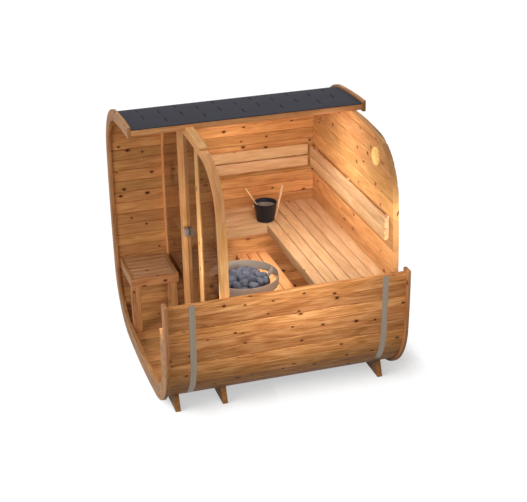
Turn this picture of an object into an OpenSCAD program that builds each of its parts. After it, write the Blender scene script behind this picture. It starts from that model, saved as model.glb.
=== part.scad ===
// Garden sauna: a rounded-square shell of wooden staves on three cradle feet, with an open porch,
// a glazed front wall with a glass door, an L of benches, a stone stove and a porch seat.
// The near side is cut away between the breast-high wall and the roof edge.
// X runs across, Y from the porch to the back wall, Z up from the ground. Sizes in mm.

/* [Shell] */
// width over the staves
shell_width = 2100; // [1900:10:2500]
// height over the staves
shell_height = 2160; // [1960:10:2500]
// length over both trim rings
shell_length = 2064; // [1900:4:3000]
// thickness of the staves
stave_thickness = 50; // [40:1:60]
// outer radius of the four rounded corners
corner_radius = 520; // [420:5:640]
// radius of the bulging side walls
side_radius = 6900; // [5000:50:12000]
// radius of the bulging roof and floor
top_radius = 5350; // [4500:50:12000]
// height of the lowest stave above the ground
ground_gap = 36; // [34:1:60]

/* [Cut-away side] */
// height of the cut edge of the near wall above the ground
near_cut_height = 1066; // [900:2:1100]
// distance of the roof's cut edge from the middle, towards the near side
roof_cut = 26; // [0:2:300]

/* [Trim] */
// how far the trim rings stand out past the staves
ring_projection = 28; // [10:1:30]
// thickness of a trim ring along the shell
ring_thickness = 30; // [20:1:45]
// how far the trim rings reach in past the staves
ring_lip = 18; // [5:1:30]
// how far the ring ends reach past the near wall's cut edge
ring_overrun = 25; // [10:1:60]
// depth of the sill inside the lower front ring
sill_depth = 48; // [30:1:70]
// thickness of the roof shingles
shingle_thickness = 8; // [4:1:14]
// width of a steel band
band_width = 52; // [30:1:70]
// thickness of a steel band
band_thickness = 1.5; // [1:0.5:3]

/* [Feet] */
// length of a foot on the ground
foot_length = 1650; // [1400:10:1700]
// thickness of a foot plank
foot_thickness = 44; // [36:1:60]

/* [Front wall] */
// depth of the porch from the front ring's face to the front wall
porch_depth = 480; // [440:5:700]
// depth of the front wall's frame
frame_depth = 70; // [60:1:90]
// breadth of the arch seen from the front
arch_breadth = 55; // [45:1:80]
// width of a door post
post_width = 94; // [70:1:110]
// clear width between the door posts
doorway_width = 520; // [500:5:640]
// distance of the doorway's middle from the shell's middle
doorway_offset = 40; // [0:5:80]
// thickness of the glass
glass_thickness = 8; // [6:1:10]

/* [Back wall] */
// thickness of the back wall
back_wall_thickness = 50; // [40:1:60]
// how far the back wall stands in from the rear ring's face
back_wall_inset = 79; // [60:1:140]

/* [Benches] */
// height of the bench tops above the ground
bench_height = 979; // [900:1:1010]
// depth of the bench along the back wall
back_bench_depth = 610; // [480:5:640]
// depth of the bench along the far wall
far_bench_depth = 505; // [420:5:540]
// height of the step above the ground
step_height = 510; // [460:2:560]
// thickness of all slats
slat_thickness = 28; // [22:1:34]
// gap between slats
slat_gap = 8; // [5:1:12]
// height of the porch seat above the ground
porch_seat_height = 640; // [560:2:680]

/* [Stove] */
// outer radius of the guard ring
guard_radius = 297; // [280:1:300]
// height of the guard ring's upper edge above the ground
guard_height = 900; // [820:2:940]
// radius of the stove body
stove_radius = 222; // [190:1:230]

/* [Bucket] */
// height of the bucket
bucket_height = 178; // [140:1:200]
// radius of the bucket's rim
bucket_rim_radius = 106; // [90:1:120]

/* [Part] */

/* [Hidden] */
$fn = 96;
// facets of the wide arcs
arc_facets = 1440;
// profile of the shell
half_width = shell_width / 2;
half_height = shell_height / 2;
centre_height = ground_gap + half_height;
side_centre = [half_width - side_radius, 0];
top_centre = [0, half_height - top_radius];
centre_step = top_centre - side_centre;
centre_span = norm(centre_step);
side_reach = side_radius - corner_radius;
top_reach = top_radius - corner_radius;
along_span = (side_reach * side_reach - top_reach * top_reach + centre_span * centre_span) / (2 * centre_span);
across_span = sqrt(side_reach * side_reach - along_span * along_span);
span_dir = centre_step / centre_span;
corner_centre = side_centre + along_span * span_dir + across_span * [-span_dir[1], span_dir[0]];
side_angle = asin(corner_centre[1] / side_reach);
top_angle = acos(corner_centre[0] / top_reach);
near_cut_angle = asin((near_cut_height - centre_height) / side_radius);
ring_cut_angle = asin((near_cut_height + ring_overrun - centre_height) / side_radius);
roof_cut_angle = acos(roof_cut / top_radius);
// play left where two curved pieces of the shell meet
joint_gap = 0.1;
corner_play = asin(joint_gap / corner_radius);
// stations along the shell
front_y = -shell_length / 2;
back_y = shell_length / 2;
stave_front = front_y + ring_thickness;
stave_length = shell_length - 2 * ring_thickness;
wall_front = front_y + porch_depth;
wall_back = wall_front + frame_depth;
back_inner = back_y - back_wall_inset - back_wall_thickness;
inner_half = half_width - stave_thickness;
front_band_set = 202;
rear_band_set = 236;
front_foot_set = 104;
middle_foot_set = 28;
rear_foot_set = 177;
front_band_y = front_y + front_band_set;
rear_band_y = back_y - rear_band_set;
front_foot_y = front_y + front_foot_set;
middle_foot_y = wall_front + middle_foot_set;
rear_foot_y = back_y - rear_foot_set;
// sill
sill_over = stave_thickness + ring_lip;
sill_inset = sill_over + sill_depth;
sill_drop = 256;
sill_scarf = 80;
sill_near_set = 196;
sill_near_face = half_width - sill_near_set;
sill_tip = near_cut_height - sill_drop - centre_height;
sill_far_angle = 46;
sill_tip_flat = 4;
// front wall
arch_inset = stave_thickness + arch_breadth;
arch_lath = 25;
lath_reach = 497;
doorway_far = doorway_offset - doorway_width / 2;
doorway_near = doorway_offset + doorway_width / 2;
pane_set = 10;
pane_front = wall_front + pane_set;
door_gap = 6;
door_glass_set = 33;
door_glass_front = wall_front + door_glass_set;
door_far = doorway_far + door_gap;
door_near = doorway_near - door_gap;
door_reach = max(abs(door_far), abs(door_near));
opening_radius = top_radius - arch_inset;
door_rise = sqrt(opening_radius * opening_radius - door_reach * door_reach) + top_centre[1];
door_top = centre_height + door_rise - 8;
hinge_set = 11.5;
hinge_x = doorway_near - hinge_set;
door_sweep = hinge_x + 0.18 * (door_near - door_far);
door_bottom = centre_height - half_height + max(arch_inset, sill_inset)
  + door_sweep * door_sweep / opening_radius / 2 + 8;
hinge_stand = 12.5;
hinge_y = door_glass_front - hinge_stand;
hinge_length = 100;
hinge_over_bottom = 190;
hinge_under_top = 300;
hinge_low = door_bottom + hinge_over_bottom;
hinge_high = door_top - hinge_under_top;
handle_height = 70;
handle_depth = 40;
handle_width = 56;
handle_z = 1165;
clamp_plate = 46;
clamp_sheet = 5.5;
clamp_margin = 12;
knuckle = 32;
knuckle_play = 2;
knuckle_radius = 7;
pin_radius = 3;
leaf = 3;
// vent on the back wall
vent_x = 614;
vent_drop = 256;
vent_z = centre_height + half_height - vent_drop;
vent_radius = 78;
vent_thickness = 18;
// benches
bench_under = bench_height - slat_thickness;
back_bench_front = back_inner - back_bench_depth;
far_bench_front = far_bench_depth - inner_half;
apron_height = 86;
apron_thickness = 25;
wall_gap = 12;
bearer = 45;
// backrests
backrest_lift = 347;
backrest_low = bench_height + backrest_lift;
backrest_board = 102;
backrest_gap = 10;
backrest_rise = 2 * backrest_board + backrest_gap;
backrest_thickness = 20;
backrest_stand = 50;
batten = 44;
batten_inset = 60;
far_backrest_set = 40;
far_backrest_clear = 62;
back_backrest_set = 55;
back_backrest_clear = 70;
back_backrest_board = 93;
back_backrest_gap = 9;
back_backrest_rise = 2 * back_backrest_board + back_backrest_gap;
back_backrest_thickness = 30;
far_backrest_from = wall_back + far_backrest_set;
far_backrest_to = back_inner - far_backrest_clear;
back_backrest_from = back_backrest_set - inner_half;
back_backrest_to = inner_half - back_backrest_clear;
// step
step_under = step_height - slat_thickness;
step_width = 298;
step_reach = 176;
step_front = back_bench_front - step_reach;
step_apron = 24;
step_apron_thickness = 20;
step_rail = 52;
step_leg = 45;
trestle_far = -430;
trestle_near = 385;
step_half = clear_half(step_under - step_apron) - 3;
// porch seat
seat_front_set = 8;
seat_wall_play = 6;
seat_front = stave_front + seat_front_set;
seat_back = wall_front - seat_wall_play;
seat_near = -466;
seat_far_set = 32;
seat_far = seat_far_set - inner_half;
seat_length = seat_back - seat_front;
seat_depth = seat_near - seat_far;
seat_apron_height = 84;
seat_apron = 30;
seat_play = 3;
seat_bearer = 40;
leg_width = 78;
leg_thickness = 62;
rear_leg_inset = 20;
// stove
stove_x = 285;
guard_clear = 25;
stove_y = wall_back + guard_radius + guard_clear;
guard_band = 78;
guard_sheet = 3;
stove_drop = 62;
stove_top = guard_height - stove_drop;
stove_low = 176;
stove_sheet = 4;
bowl_depth = 90;
stones_rise = 105;
stones_play = 6;
stones_radius = stove_radius - stones_play;
stones_ball = (stones_radius * stones_radius + stones_rise * stones_rise) / (2 * stones_rise);
bracket_thickness = 5;
bracket_turn = 18;
bracket_foot = 60;
bracket_head = 14;
bracket_rim = 8;
bracket_lip = 6;
bracket_bite = 1;
plinth_step = 40;
// bucket, on the corner of the benches
bucket_x = -614;
bucket_set = 18;
bucket_taper = 26;
bucket_y = back_bench_front + bucket_set;
bucket_foot_radius = bucket_rim_radius - bucket_taper;
bucket_wall = 6;
bucket_floor = 10;
bucket_inner_rim = bucket_rim_radius - bucket_wall;
grip_length = 330;
grip_width = 27;
grip_thickness = 17;
grip_splay = 5;
grip_turn = 85;
ladle_cup_radius = 34;
ladle_cup_height = 40;
ladle_length = 330;
ladle_radius = 7;
ladle_seat = 10;
ladle_rise = bucket_floor + ladle_cup_height - 10;
ladle_lean = atan((bucket_inner_rim - 1.35 * ladle_radius - ladle_seat) / (bucket_height - ladle_rise));

// Half the clear width between the staves at a height above the ground.
function clear_half(z) =
  abs(z - centre_height) < corner_centre[1]
    ? side_centre[0] + sqrt(pow(side_radius - stave_thickness, 2) - pow(z - centre_height, 2))
    : corner_centre[0]
      + sqrt(pow(corner_radius - stave_thickness, 2) - pow(abs(z - centre_height) - corner_centre[1], 2));

// Distance from the middle of the near side's face at an inset, at a height from the shell's middle.
function side_face(z, inset) = side_centre[0] + sqrt(pow(side_radius - inset, 2) - pow(z, 2));

// Places a flat shape, drawn across the shell about its middle, from station y over length.
module along(y, length) {
  translate([0, y + length, centre_height])
    rotate([90, 0, 0])
      linear_extrude(length)
        children();
}

// Part of a flat ring about centre, between two angles.
module arc_strip(centre, outer, inner, from, to) {
  reach = 1.6 * outer;
  intersection() {
    translate(centre)
      difference() {
        circle(outer, $fn = arc_facets);
        circle(inner, $fn = arc_facets);
      }
    polygon([
      centre,
      centre + reach * [cos(from), sin(from)],
      centre + reach * [cos(to), sin(to)]
    ]);
  }
}

// Strips of the shell's outline; over and under are distances inward from the outside of the staves.
module side_strip(over, under, from, to) {
  arc_strip(side_centre, side_radius - over, side_radius - under, from, to);
}

module top_strip(over, under, from, to) {
  arc_strip(top_centre, top_radius - over, top_radius - under, from, to);
}

module corner_strip(over, under, play = 0) {
  arc_strip(corner_centre, corner_radius - over, corner_radius - under, side_angle + play, top_angle - play);
}

module flip_x() {
  mirror([1, 0]) children();
}

module flip_z() {
  mirror([0, 1]) children();
}

// One slice of a rounded outline: a disc cut by the two rays that part it from its neighbours.
module arc_slice(centre, radius, first, last, from, to) {
  reach = 3 * half_width;
  intersection() {
    translate(centre) circle(radius, $fn = arc_facets);
    polygon([
      first,
      first + reach * [cos(from), sin(from)],
      last + reach * [cos(to), sin(to)],
      last
    ]);
  }
}

// The whole rounded outline, inset from the outside of the staves.
module outline(inset) {
  k = corner_centre;
  upper = [-k[0], k[1]];
  lower = [k[0], -k[1]];
  polygon([k, upper, -k, lower]);
  for (turn = [0, 1])
    mirror([turn, 0])
      arc_slice(side_centre, side_radius - inset, lower, k, -side_angle, side_angle);
  for (turn = [0, 1])
    mirror([0, turn])
      arc_slice(top_centre, top_radius - inset, k, upper, top_angle, 180 - top_angle);
  for (turn_x = [0, 1], turn_z = [0, 1])
    mirror([turn_x, 0])
      mirror([0, turn_z])
        intersection() {
          translate(k) circle(corner_radius - inset, $fn = arc_facets);
          polygon([
            k,
            k + 1.6 * corner_radius * [cos(side_angle), sin(side_angle)],
            k + 1.6 * corner_radius * [cos(top_angle), sin(top_angle)]
          ]);
        }
}

// Keeps what lies above the floor, inside the staves' lower face.
module above_floor() {
  intersection() {
    children();
    along(front_y, shell_length)
      translate(-top_centre)
        circle(top_radius - stave_thickness, $fn = arc_facets);
  }
}

// Keeps what lies inside the far wall's staves.
module inside_far_wall() {
  intersection() {
    children();
    along(front_y, shell_length)
      translate(-side_centre)
        circle(side_radius - stave_thickness, $fn = arc_facets);
  }
}

// Slats side by side from start over width, each length long; lie is "x" or "y", the way they run.
module slat_row(lie, count, start, width, low, from, to) {
  each_width = (width - (count - 1) * slat_gap) / count;
  for (i = [0 : count - 1]) {
    at = start + i * (each_width + slat_gap);
    if (lie == "x")
      translate([from, at, low]) cube([to - from, each_width, slat_thickness]);
    else
      translate([at, from, low]) cube([each_width, to - from, slat_thickness]);
  }
}

module floor_staves() {
  color("Peru")
    along(stave_front, stave_length)
      flip_z() top_strip(0, stave_thickness, top_angle, 180 - top_angle);
}

module far_lower_corner() {
  color("Peru")
    along(stave_front, stave_length)
      flip_x() flip_z() corner_strip(0, stave_thickness, corner_play);
}

module far_wall() {
  color("Peru")
    along(stave_front, stave_length)
      flip_x() side_strip(0, stave_thickness, -side_angle, side_angle);
}

module far_upper_corner() {
  color("Peru")
    along(stave_front, stave_length)
      flip_x() corner_strip(0, stave_thickness, corner_play);
}

module roof_staves() {
  color("Peru")
    along(stave_front, stave_length)
      top_strip(0, stave_thickness, roof_cut_angle, 180 - top_angle);
}

module near_lower_corner() {
  color("Peru")
    along(stave_front, stave_length)
      flip_z() corner_strip(0, stave_thickness, corner_play);
}

module near_wall() {
  color("Peru")
    along(stave_front, stave_length)
      side_strip(0, stave_thickness, -side_angle, near_cut_angle);
}

// Shingles over the roof and down over the far upper corner.
module roof_shingles() {
  color("DimGray")
    along(stave_front, stave_length) {
      top_strip(-shingle_thickness, 0, roof_cut_angle, 180 - top_angle);
      flip_x() corner_strip(-shingle_thickness, 0);
    }
}

// Trim ring from the near cut under the floor and up the far side to the roof's cut.
module trim_ring(y) {
  over = -ring_projection;
  under = stave_thickness + ring_lip;
  near_way = [cos(ring_cut_angle), sin(ring_cut_angle)];
  roof_way = [cos(roof_cut_angle), sin(roof_cut_angle)];
  away = shell_width;
  along(y, ring_thickness)
    difference() {
      outline(over);
      outline(under);
      polygon([
        side_centre + (side_radius - 2 * under) * near_way,
        side_centre + (side_radius + away) * near_way,
        [half_width + away, half_height + away],
        top_centre + (top_radius + away) * roof_way,
        top_centre + (top_radius - 2 * under) * roof_way
      ]);
    }
}

module front_ring() {
  color("BurlyWood") trim_ring(front_y);
}

module rear_ring() {
  color("BurlyWood") trim_ring(back_y - ring_thickness);
}

// Sill inside the lower front ring, from the near wall round the floor to the far lower corner.
// Its near end stands upright with a straight inner face and is scarfed to a tip on the inside.
module front_sill() {
  over = sill_over + joint_gap;
  heel = sill_tip - sill_scarf;
  tip_x = sill_near_face + sill_tip_flat;
  color("BurlyWood")
    along(front_y, ring_thickness) {
      difference() {
        intersection() {
          outline(over);
          translate([sill_near_face, -half_height])
            square([sill_near_set, half_height + sill_tip]);
        }
        polygon([
          [side_face(heel, over), heel],
          [half_width, heel],
          [half_width, sill_tip + sill_scarf],
          [tip_x, sill_tip + sill_scarf],
          [tip_x, sill_tip]
        ]);
      }
      flip_z() corner_strip(over, sill_inset);
      flip_z() top_strip(over, sill_inset, top_angle, 180 - top_angle);
      flip_x() flip_z()
        arc_strip(corner_centre, corner_radius - over, corner_radius - sill_inset, sill_far_angle, top_angle);
    }
}

// Steel band from the near cut under the floor and up the far wall.
module band(y) {
  over = -band_thickness;
  color("Silver")
    along(y, band_width) {
      side_strip(over, 0, -side_angle, near_cut_angle);
      flip_z() corner_strip(over, 0);
      flip_z() top_strip(over, 0, top_angle, 180 - top_angle);
      flip_x() flip_z() corner_strip(over, 0);
      flip_x() side_strip(over, 0, -side_angle, side_angle);
    }
}

module front_band() {
  band(front_band_y);
}

module rear_band() {
  band(rear_band_y);
}

// Cradle plank: flat on the ground, hollowed on top to the shell's outside, ends sloping in.
module foot(y) {
  half = foot_length / 2;
  slope = 0.39;
  rise = 200;
  split = top_radius * cos(top_angle);
  ground = -centre_height;
  color("SaddleBrown")
    along(y, foot_thickness) {
      difference() {
        polygon([[-split, ground], [split, ground], [split, ground + rise], [-split, ground + rise]]);
        translate(-top_centre) circle(top_radius, $fn = arc_facets);
      }
      for (turn = [0, 1])
        mirror([turn, 0])
          difference() {
            polygon([
              [split, ground],
              [half, ground],
              [half - slope * rise, ground + rise],
              [split, ground + rise]
            ]);
            translate([corner_centre[0], -corner_centre[1]]) circle(corner_radius, $fn = arc_facets);
          }
    }
}

module front_foot() {
  foot(front_foot_y);
}

module middle_foot() {
  foot(middle_foot_y);
}

module rear_foot() {
  foot(rear_foot_y);
}

// Closed frame of the front wall, fitted inside the staves, with a lath on it next to the roof's cut.
module front_arch() {
  over = stave_thickness;
  under = arch_inset;
  color("SandyBrown")
    along(wall_front, frame_depth) {
      for (turn = [0, 1])
        mirror([turn, 0]) side_strip(over, under, -side_angle, side_angle);
      for (turn = [0, 1])
        mirror([0, turn]) top_strip(over, under, top_angle, 180 - top_angle);
      for (turn_x = [0, 1], turn_z = [0, 1])
        mirror([turn_x, 0]) mirror([0, turn_z]) corner_strip(over, under);
      top_strip(over - arch_lath, over + 4, acos(lath_reach / top_radius),
        acos((roof_cut + joint_gap) / top_radius));
    }
}

// Door post between the arch's floor and roof, its near side at x + post_width.
module post(x) {
  color("SandyBrown")
    along(wall_front, frame_depth)
      intersection() {
        translate([x, -half_height]) square([post_width, shell_height]);
        translate(top_centre) circle(top_radius - arch_inset, $fn = arc_facets);
        translate(-top_centre) circle(top_radius - arch_inset, $fn = arc_facets);
      }
}

module far_post() {
  post(doorway_far - post_width);
}

module near_post() {
  post(doorway_near);
}

// Fixed pane between two distances from the middle, shaped to the arch.
module pane(from, to) {
  color("Tan", 0.5)
    along(pane_front, glass_thickness)
      intersection() {
        outline(arch_inset);
        translate([from, -half_height]) square([to - from, shell_height]);
      }
}

module far_pane() {
  pane(-half_width, doorway_far - post_width);
}

module near_pane() {
  pane(doorway_near + post_width, half_width);
}

module door_glass() {
  color("Tan", 0.5)
    translate([door_far, door_glass_front, door_bottom])
      cube([door_near - door_far, glass_thickness, door_top - door_bottom]);
}

// A block pull on each side of the glass, by the free edge.
module door_handle() {
  color("Silver")
    for (y = [door_glass_front - handle_depth, door_glass_front + glass_thickness])
      translate([door_far + 24, y, handle_z - handle_height / 2])
        cube([handle_width, handle_depth, handle_height]);
}

// Clamps on the glass with the middle knuckle of each hinge.
module door_clamps() {
  low = knuckle + knuckle_play;
  high = hinge_length - 2 * low;
  color("DarkGoldenrod")
    for (z = [hinge_low, hinge_high]) {
      difference() {
        union() {
          translate([hinge_x - clamp_plate, door_glass_front - clamp_sheet, z + clamp_margin])
            cube([clamp_plate, clamp_sheet, hinge_length - 2 * clamp_margin]);
          translate([hinge_x - knuckle_radius, hinge_y, z + low])
            cube([knuckle_radius, door_glass_front - hinge_y, high]);
          translate([hinge_x, hinge_y, z + low])
            cylinder(h = high, r = knuckle_radius);
        }
        translate([hinge_x, hinge_y, z])
          cylinder(h = hinge_length, r = pin_radius + 0.5);
      }
      translate([hinge_x - clamp_plate, door_glass_front + glass_thickness, z + clamp_margin])
        cube([clamp_plate, clamp_sheet, hinge_length - 2 * clamp_margin]);
    }
}

// Leaves on the near post with the pin and outer knuckles of each hinge.
module post_hinges() {
  color("DarkGoldenrod")
    for (z = [hinge_low, hinge_high]) {
      translate([doorway_near - leaf, hinge_y - 9, z])
        cube([leaf, 16, hinge_length]);
      for (low = [z, z + hinge_length - knuckle]) {
        translate([hinge_x, hinge_y, low])
          cylinder(h = knuckle, r = knuckle_radius);
        translate([hinge_x, hinge_y - 6, low])
          cube([doorway_near - hinge_x, 12, knuckle]);
      }
      translate([hinge_x, hinge_y, z])
        cylinder(h = hinge_length, r = pin_radius);
    }
}

module back_wall() {
  color("Peru")
    along(back_inner, back_wall_thickness)
      outline(stave_thickness);
}

// Round wooden cover of the vent, high on the near side of the back wall.
module vent_cover() {
  color("Wheat")
    translate([vent_x, back_inner, vent_z])
      rotate([90, 0, 0])
        cylinder(h = vent_thickness, r = vent_radius);
}

// Two boards along the far wall on three battens.
module far_backrest() {
  face = backrest_stand - inner_half;
  from = far_backrest_from;
  to = far_backrest_to;
  color("BurlyWood") {
    for (i = [0, 1])
      translate([face - backrest_thickness, from, backrest_low + i * (backrest_board + backrest_gap)])
        cube([backrest_thickness, to - from, backrest_board]);
    inside_far_wall()
      for (y = [from + batten_inset, (from + to - batten) / 2, to - batten_inset - batten])
        translate([-half_width, y, backrest_low])
          cube([half_width + face - backrest_thickness, batten, backrest_rise]);
  }
}

// Two boards along the back wall on three battens.
module back_backrest() {
  face = back_inner - backrest_stand;
  from = back_backrest_from;
  to = back_backrest_to;
  color("BurlyWood") {
    for (i = [0, 1])
      translate([from, face, backrest_low + i * (back_backrest_board + back_backrest_gap)])
        cube([to - from, back_backrest_thickness, back_backrest_board]);
    for (x = [from + batten_inset, (from + to - batten) / 2, to - batten - back_backrest_thickness])
      translate([x, face + back_backrest_thickness, backrest_low])
        cube([batten, backrest_stand - back_backrest_thickness, back_backrest_rise]);
  }
}

// Five slats along the far wall, up to the back bench.
module far_bench_slats() {
  color("Wheat")
    slat_row("y", 5, -inner_half + wall_gap, far_bench_depth - wall_gap, bench_under,
      wall_back, back_bench_front - slat_gap);
}

// Six slats along the back wall, from wall to wall.
module back_bench_slats() {
  color("Wheat")
    slat_row("x", 6, back_bench_front, back_bench_depth, bench_under,
      -inner_half + wall_gap, inner_half - wall_gap);
}

// Apron under the front slat and two bearers back to the far wall.
module far_bench_frame() {
  low = bench_height - apron_height;
  high = apron_height - slat_thickness;
  to = back_bench_front;
  color("BurlyWood") {
    translate([far_bench_front - apron_thickness, wall_back, low])
      cube([apron_thickness, to - wall_back, high]);
    inside_far_wall()
      for (y = [wall_back + 2 * bearer, (wall_back + to + 2 * bearer) / 2])
        translate([-half_width, y, low])
          cube([half_width + far_bench_front - apron_thickness, bearer, high]);
  }
}

// Apron across the shell and bearers back to the back wall.
module back_bench_frame() {
  low = bench_height - apron_height;
  high = apron_height - slat_thickness;
  half = inner_half - wall_gap;
  spread = 2 * half - 3 * bearer;
  color("BurlyWood") {
    translate([-half, back_bench_front, low])
      cube([2 * half, apron_thickness, high]);
    for (i = [0 : 3])
      translate([-half + bearer + i * spread / 3, back_bench_front + apron_thickness, low])
        cube([bearer, back_bench_depth - apron_thickness, high]);
  }
}

// Three slats of the step in front of the back bench.
module step_slats() {
  color("SandyBrown")
    slat_row("x", 3, step_front, step_width, step_under, -step_half, step_half);
}

// Apron and trestles of the step; the legs stand on the curved floor.
module step_frame() {
  color("Peru") {
    translate([-step_half, step_front, step_under - step_apron])
      cube([2 * step_half, step_apron_thickness, step_apron]);
    for (x = [trestle_far, trestle_near]) {
      translate([x, step_front + step_apron_thickness, step_under - step_rail])
        cube([step_leg, step_width - step_apron_thickness, step_rail]);
      above_floor()
        for (y = [step_front + step_apron_thickness, step_front + step_width - step_leg])
          translate([x, y, 0])
            cube([step_leg, step_leg, step_under - step_rail]);
    }
  }
}

// Round steel stove with an open bowl for the stones, on a plinth set on the floor.
module stove_body() {
  plinth_radius = stove_radius - plinth_step;
  color("DimGray")
    difference() {
      union() {
        translate([stove_x, stove_y, stove_low])
          cylinder(h = stove_top - stove_low, r = stove_radius);
        above_floor()
          translate([stove_x, stove_y, 0])
            cylinder(h = stove_low, r = plinth_radius);
      }
      translate([stove_x, stove_y, stove_top - bowl_depth])
        cylinder(h = bowl_depth + 1, r = stove_radius - stove_sheet);
      translate([stove_x, stove_y, stove_low + stove_sheet])
        cylinder(h = stove_top - bowl_depth - stove_low - 2 * stove_sheet, r = stove_radius - stove_sheet);
      translate([stove_x, stove_y, 0])
        cylinder(h = stove_low + stove_sheet + 1, r = plinth_radius - stove_sheet);
    }
}

// The heap of stones: it fills the bowl and rises to a dome.
module stove_stones() {
  color("SlateGray") {
    translate([stove_x, stove_y, stove_top - bowl_depth])
      cylinder(h = bowl_depth, r = stones_radius - 1);
    intersection() {
      translate([stove_x, stove_y, stove_top + stones_rise - stones_ball])
        sphere(stones_ball);
      translate([stove_x, stove_y, stove_top])
        cylinder(h = 2 * stones_rise, r = stones_radius - 1);
    }
  }
}

// Steel guard band round the stove on four gusset brackets.
module stove_guard() {
  low = guard_height - guard_band;
  arm = guard_radius - guard_sheet - stove_radius + bracket_bite;
  color("Silver")
    translate([stove_x, stove_y, 0]) {
      translate([0, 0, low])
        difference() {
          cylinder(h = guard_band, r = guard_radius);
          translate([0, 0, -1]) cylinder(h = guard_band + 2, r = guard_radius - guard_sheet);
        }
      for (i = [0 : 3])
        rotate([0, 0, bracket_turn + 90 * i])
          translate([stove_radius + joint_gap, bracket_thickness / 2, 0])
            rotate([90, 0, 0])
              linear_extrude(bracket_thickness)
                polygon([
                  [0, stove_top - bracket_foot],
                  [0, stove_top - bracket_head],
                  [arm, guard_height - bracket_rim],
                  [arm, low + bracket_lip]
                ]);
    }
}

// Tapered bucket with a thick foot.
module bucket() {
  spread = bucket_rim_radius - bucket_foot_radius;
  color("DimGray")
    translate([bucket_x, bucket_y, bench_height])
      difference() {
        cylinder(h = bucket_height, r1 = bucket_foot_radius, r2 = bucket_rim_radius);
        translate([0, 0, bucket_floor])
          cylinder(h = bucket_height, r1 = bucket_foot_radius - bucket_wall + spread * bucket_floor / bucket_height,
            r2 = bucket_inner_rim + spread * bucket_floor / bucket_height);
      }
}

// Upright wooden grip fixed low on the side of the bucket, splayed a little past its taper.
module bucket_handle() {
  spread = bucket_rim_radius - bucket_foot_radius;
  taper = atan(spread / bucket_height);
  seat = bucket_foot_radius + spread * bucket_floor / bucket_height + joint_gap;
  color("BurlyWood")
    translate([bucket_x, bucket_y, bench_height])
      rotate([0, 0, grip_turn])
        translate([seat, 0, bucket_floor])
          rotate([0, taper + grip_splay, 0])
            translate([0, -grip_width / 2, 0])
              cube([grip_thickness, grip_width, grip_length]);
}

// Ladle with a round cup in the bucket and its stick over the rim.
module ladle() {
  color("BurlyWood")
    translate([bucket_x, bucket_y, bench_height]) {
      translate([0, 0, bucket_floor]) cylinder(h = ladle_cup_height, r = ladle_cup_radius);
      translate([ladle_seat, -ladle_seat, ladle_rise])
        rotate([ladle_lean, -5, 0])
          cylinder(h = ladle_length, r = ladle_radius);
    }
}

// Seat boards along the porch, flush inside the frame.
module porch_seat() {
  color("BurlyWood")
    slat_row("y", 6, seat_far, seat_depth - seat_apron - seat_play, porch_seat_height - slat_thickness,
      seat_front + seat_apron + seat_play, seat_back - seat_apron - seat_play);
}

// Aprons on three sides, flush with the boards, bearers under the board ends and two near legs.
module porch_seat_frame() {
  low = porch_seat_height - seat_apron_height;
  reach = half_width + seat_near;
  color("Peru") {
    translate([seat_near - seat_apron, seat_front, low])
      cube([seat_apron, seat_length, seat_apron_height]);
    for (y = [seat_front, seat_back - seat_apron])
      inside_far_wall()
        translate([-half_width, y, low])
          cube([reach - seat_apron, seat_apron, seat_apron_height]);
    for (y = [seat_front + seat_apron, seat_back - seat_apron - seat_bearer])
      inside_far_wall()
        translate([-half_width, y, low])
          cube([reach - seat_apron, seat_bearer, seat_apron_height - slat_thickness]);
    above_floor()
      for (y = [seat_front, seat_back - rear_leg_inset - leg_width])
        translate([seat_near - leg_thickness, y, 0])
          cube([leg_thickness, leg_width, low]);
  }
}

floor_staves();
far_lower_corner();
far_wall();
far_upper_corner();
roof_staves();
near_lower_corner();
near_wall();
roof_shingles();
front_ring();
rear_ring();
front_sill();
front_band();
rear_band();
front_foot();
middle_foot();
rear_foot();
front_arch();
far_post();
near_post();
far_pane();
near_pane();
door_glass();
door_handle();
door_clamps();
post_hinges();
back_wall();
vent_cover();
far_backrest();
back_backrest();
far_bench_slats();
back_bench_slats();
far_bench_frame();
back_bench_frame();
step_slats();
step_frame();
stove_body();
stove_stones();
stove_guard();
bucket();
bucket_handle();
ladle();
porch_seat();
porch_seat_frame();
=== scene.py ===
"""Dresses the packed garden sauna in its staves, boards, slats, shingles, stones, steel and tinted glass."""
import logging
import math
from dataclasses import dataclass, field, replace
from enum import Enum
from functools import lru_cache
from typing import Any, Sequence

import bpy
import numpy as np
from mathutils import Matrix, Vector


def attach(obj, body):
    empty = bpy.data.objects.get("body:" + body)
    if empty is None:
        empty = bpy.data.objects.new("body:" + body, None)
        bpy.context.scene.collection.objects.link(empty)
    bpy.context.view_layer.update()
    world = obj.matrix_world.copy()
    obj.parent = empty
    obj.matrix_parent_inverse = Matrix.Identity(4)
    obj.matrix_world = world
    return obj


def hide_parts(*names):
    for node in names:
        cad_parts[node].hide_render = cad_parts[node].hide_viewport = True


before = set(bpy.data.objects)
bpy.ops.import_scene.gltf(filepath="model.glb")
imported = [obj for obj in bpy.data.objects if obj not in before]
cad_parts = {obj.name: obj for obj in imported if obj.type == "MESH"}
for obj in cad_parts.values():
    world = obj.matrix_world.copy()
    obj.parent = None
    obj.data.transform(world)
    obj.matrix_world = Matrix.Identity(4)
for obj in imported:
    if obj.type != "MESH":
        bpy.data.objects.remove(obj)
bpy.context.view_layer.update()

LOG = logging.getLogger("garden_sauna")
Array = np.ndarray
Material = bpy.types.Material
Tree = bpy.types.NodeTree
Socket = bpy.types.NodeSocket
Pair = tuple[float, float]
Triple = tuple[float, float, float]
DRAW = np.random.default_rng(2111)
TAU = 2 * math.pi
PI = math.pi
# Steps that carry each board to its own stretch of the grain map, in metres.
GRAIN_STEP = np.array([17.0, 31.0])
# Turn from one stone to the next along the sunflower spiral, in radians.
GOLDEN_TURN = 2.39996
# Share of a board's edge radius by which its end faces are drawn in.
END_EASE = 0.7
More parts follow.
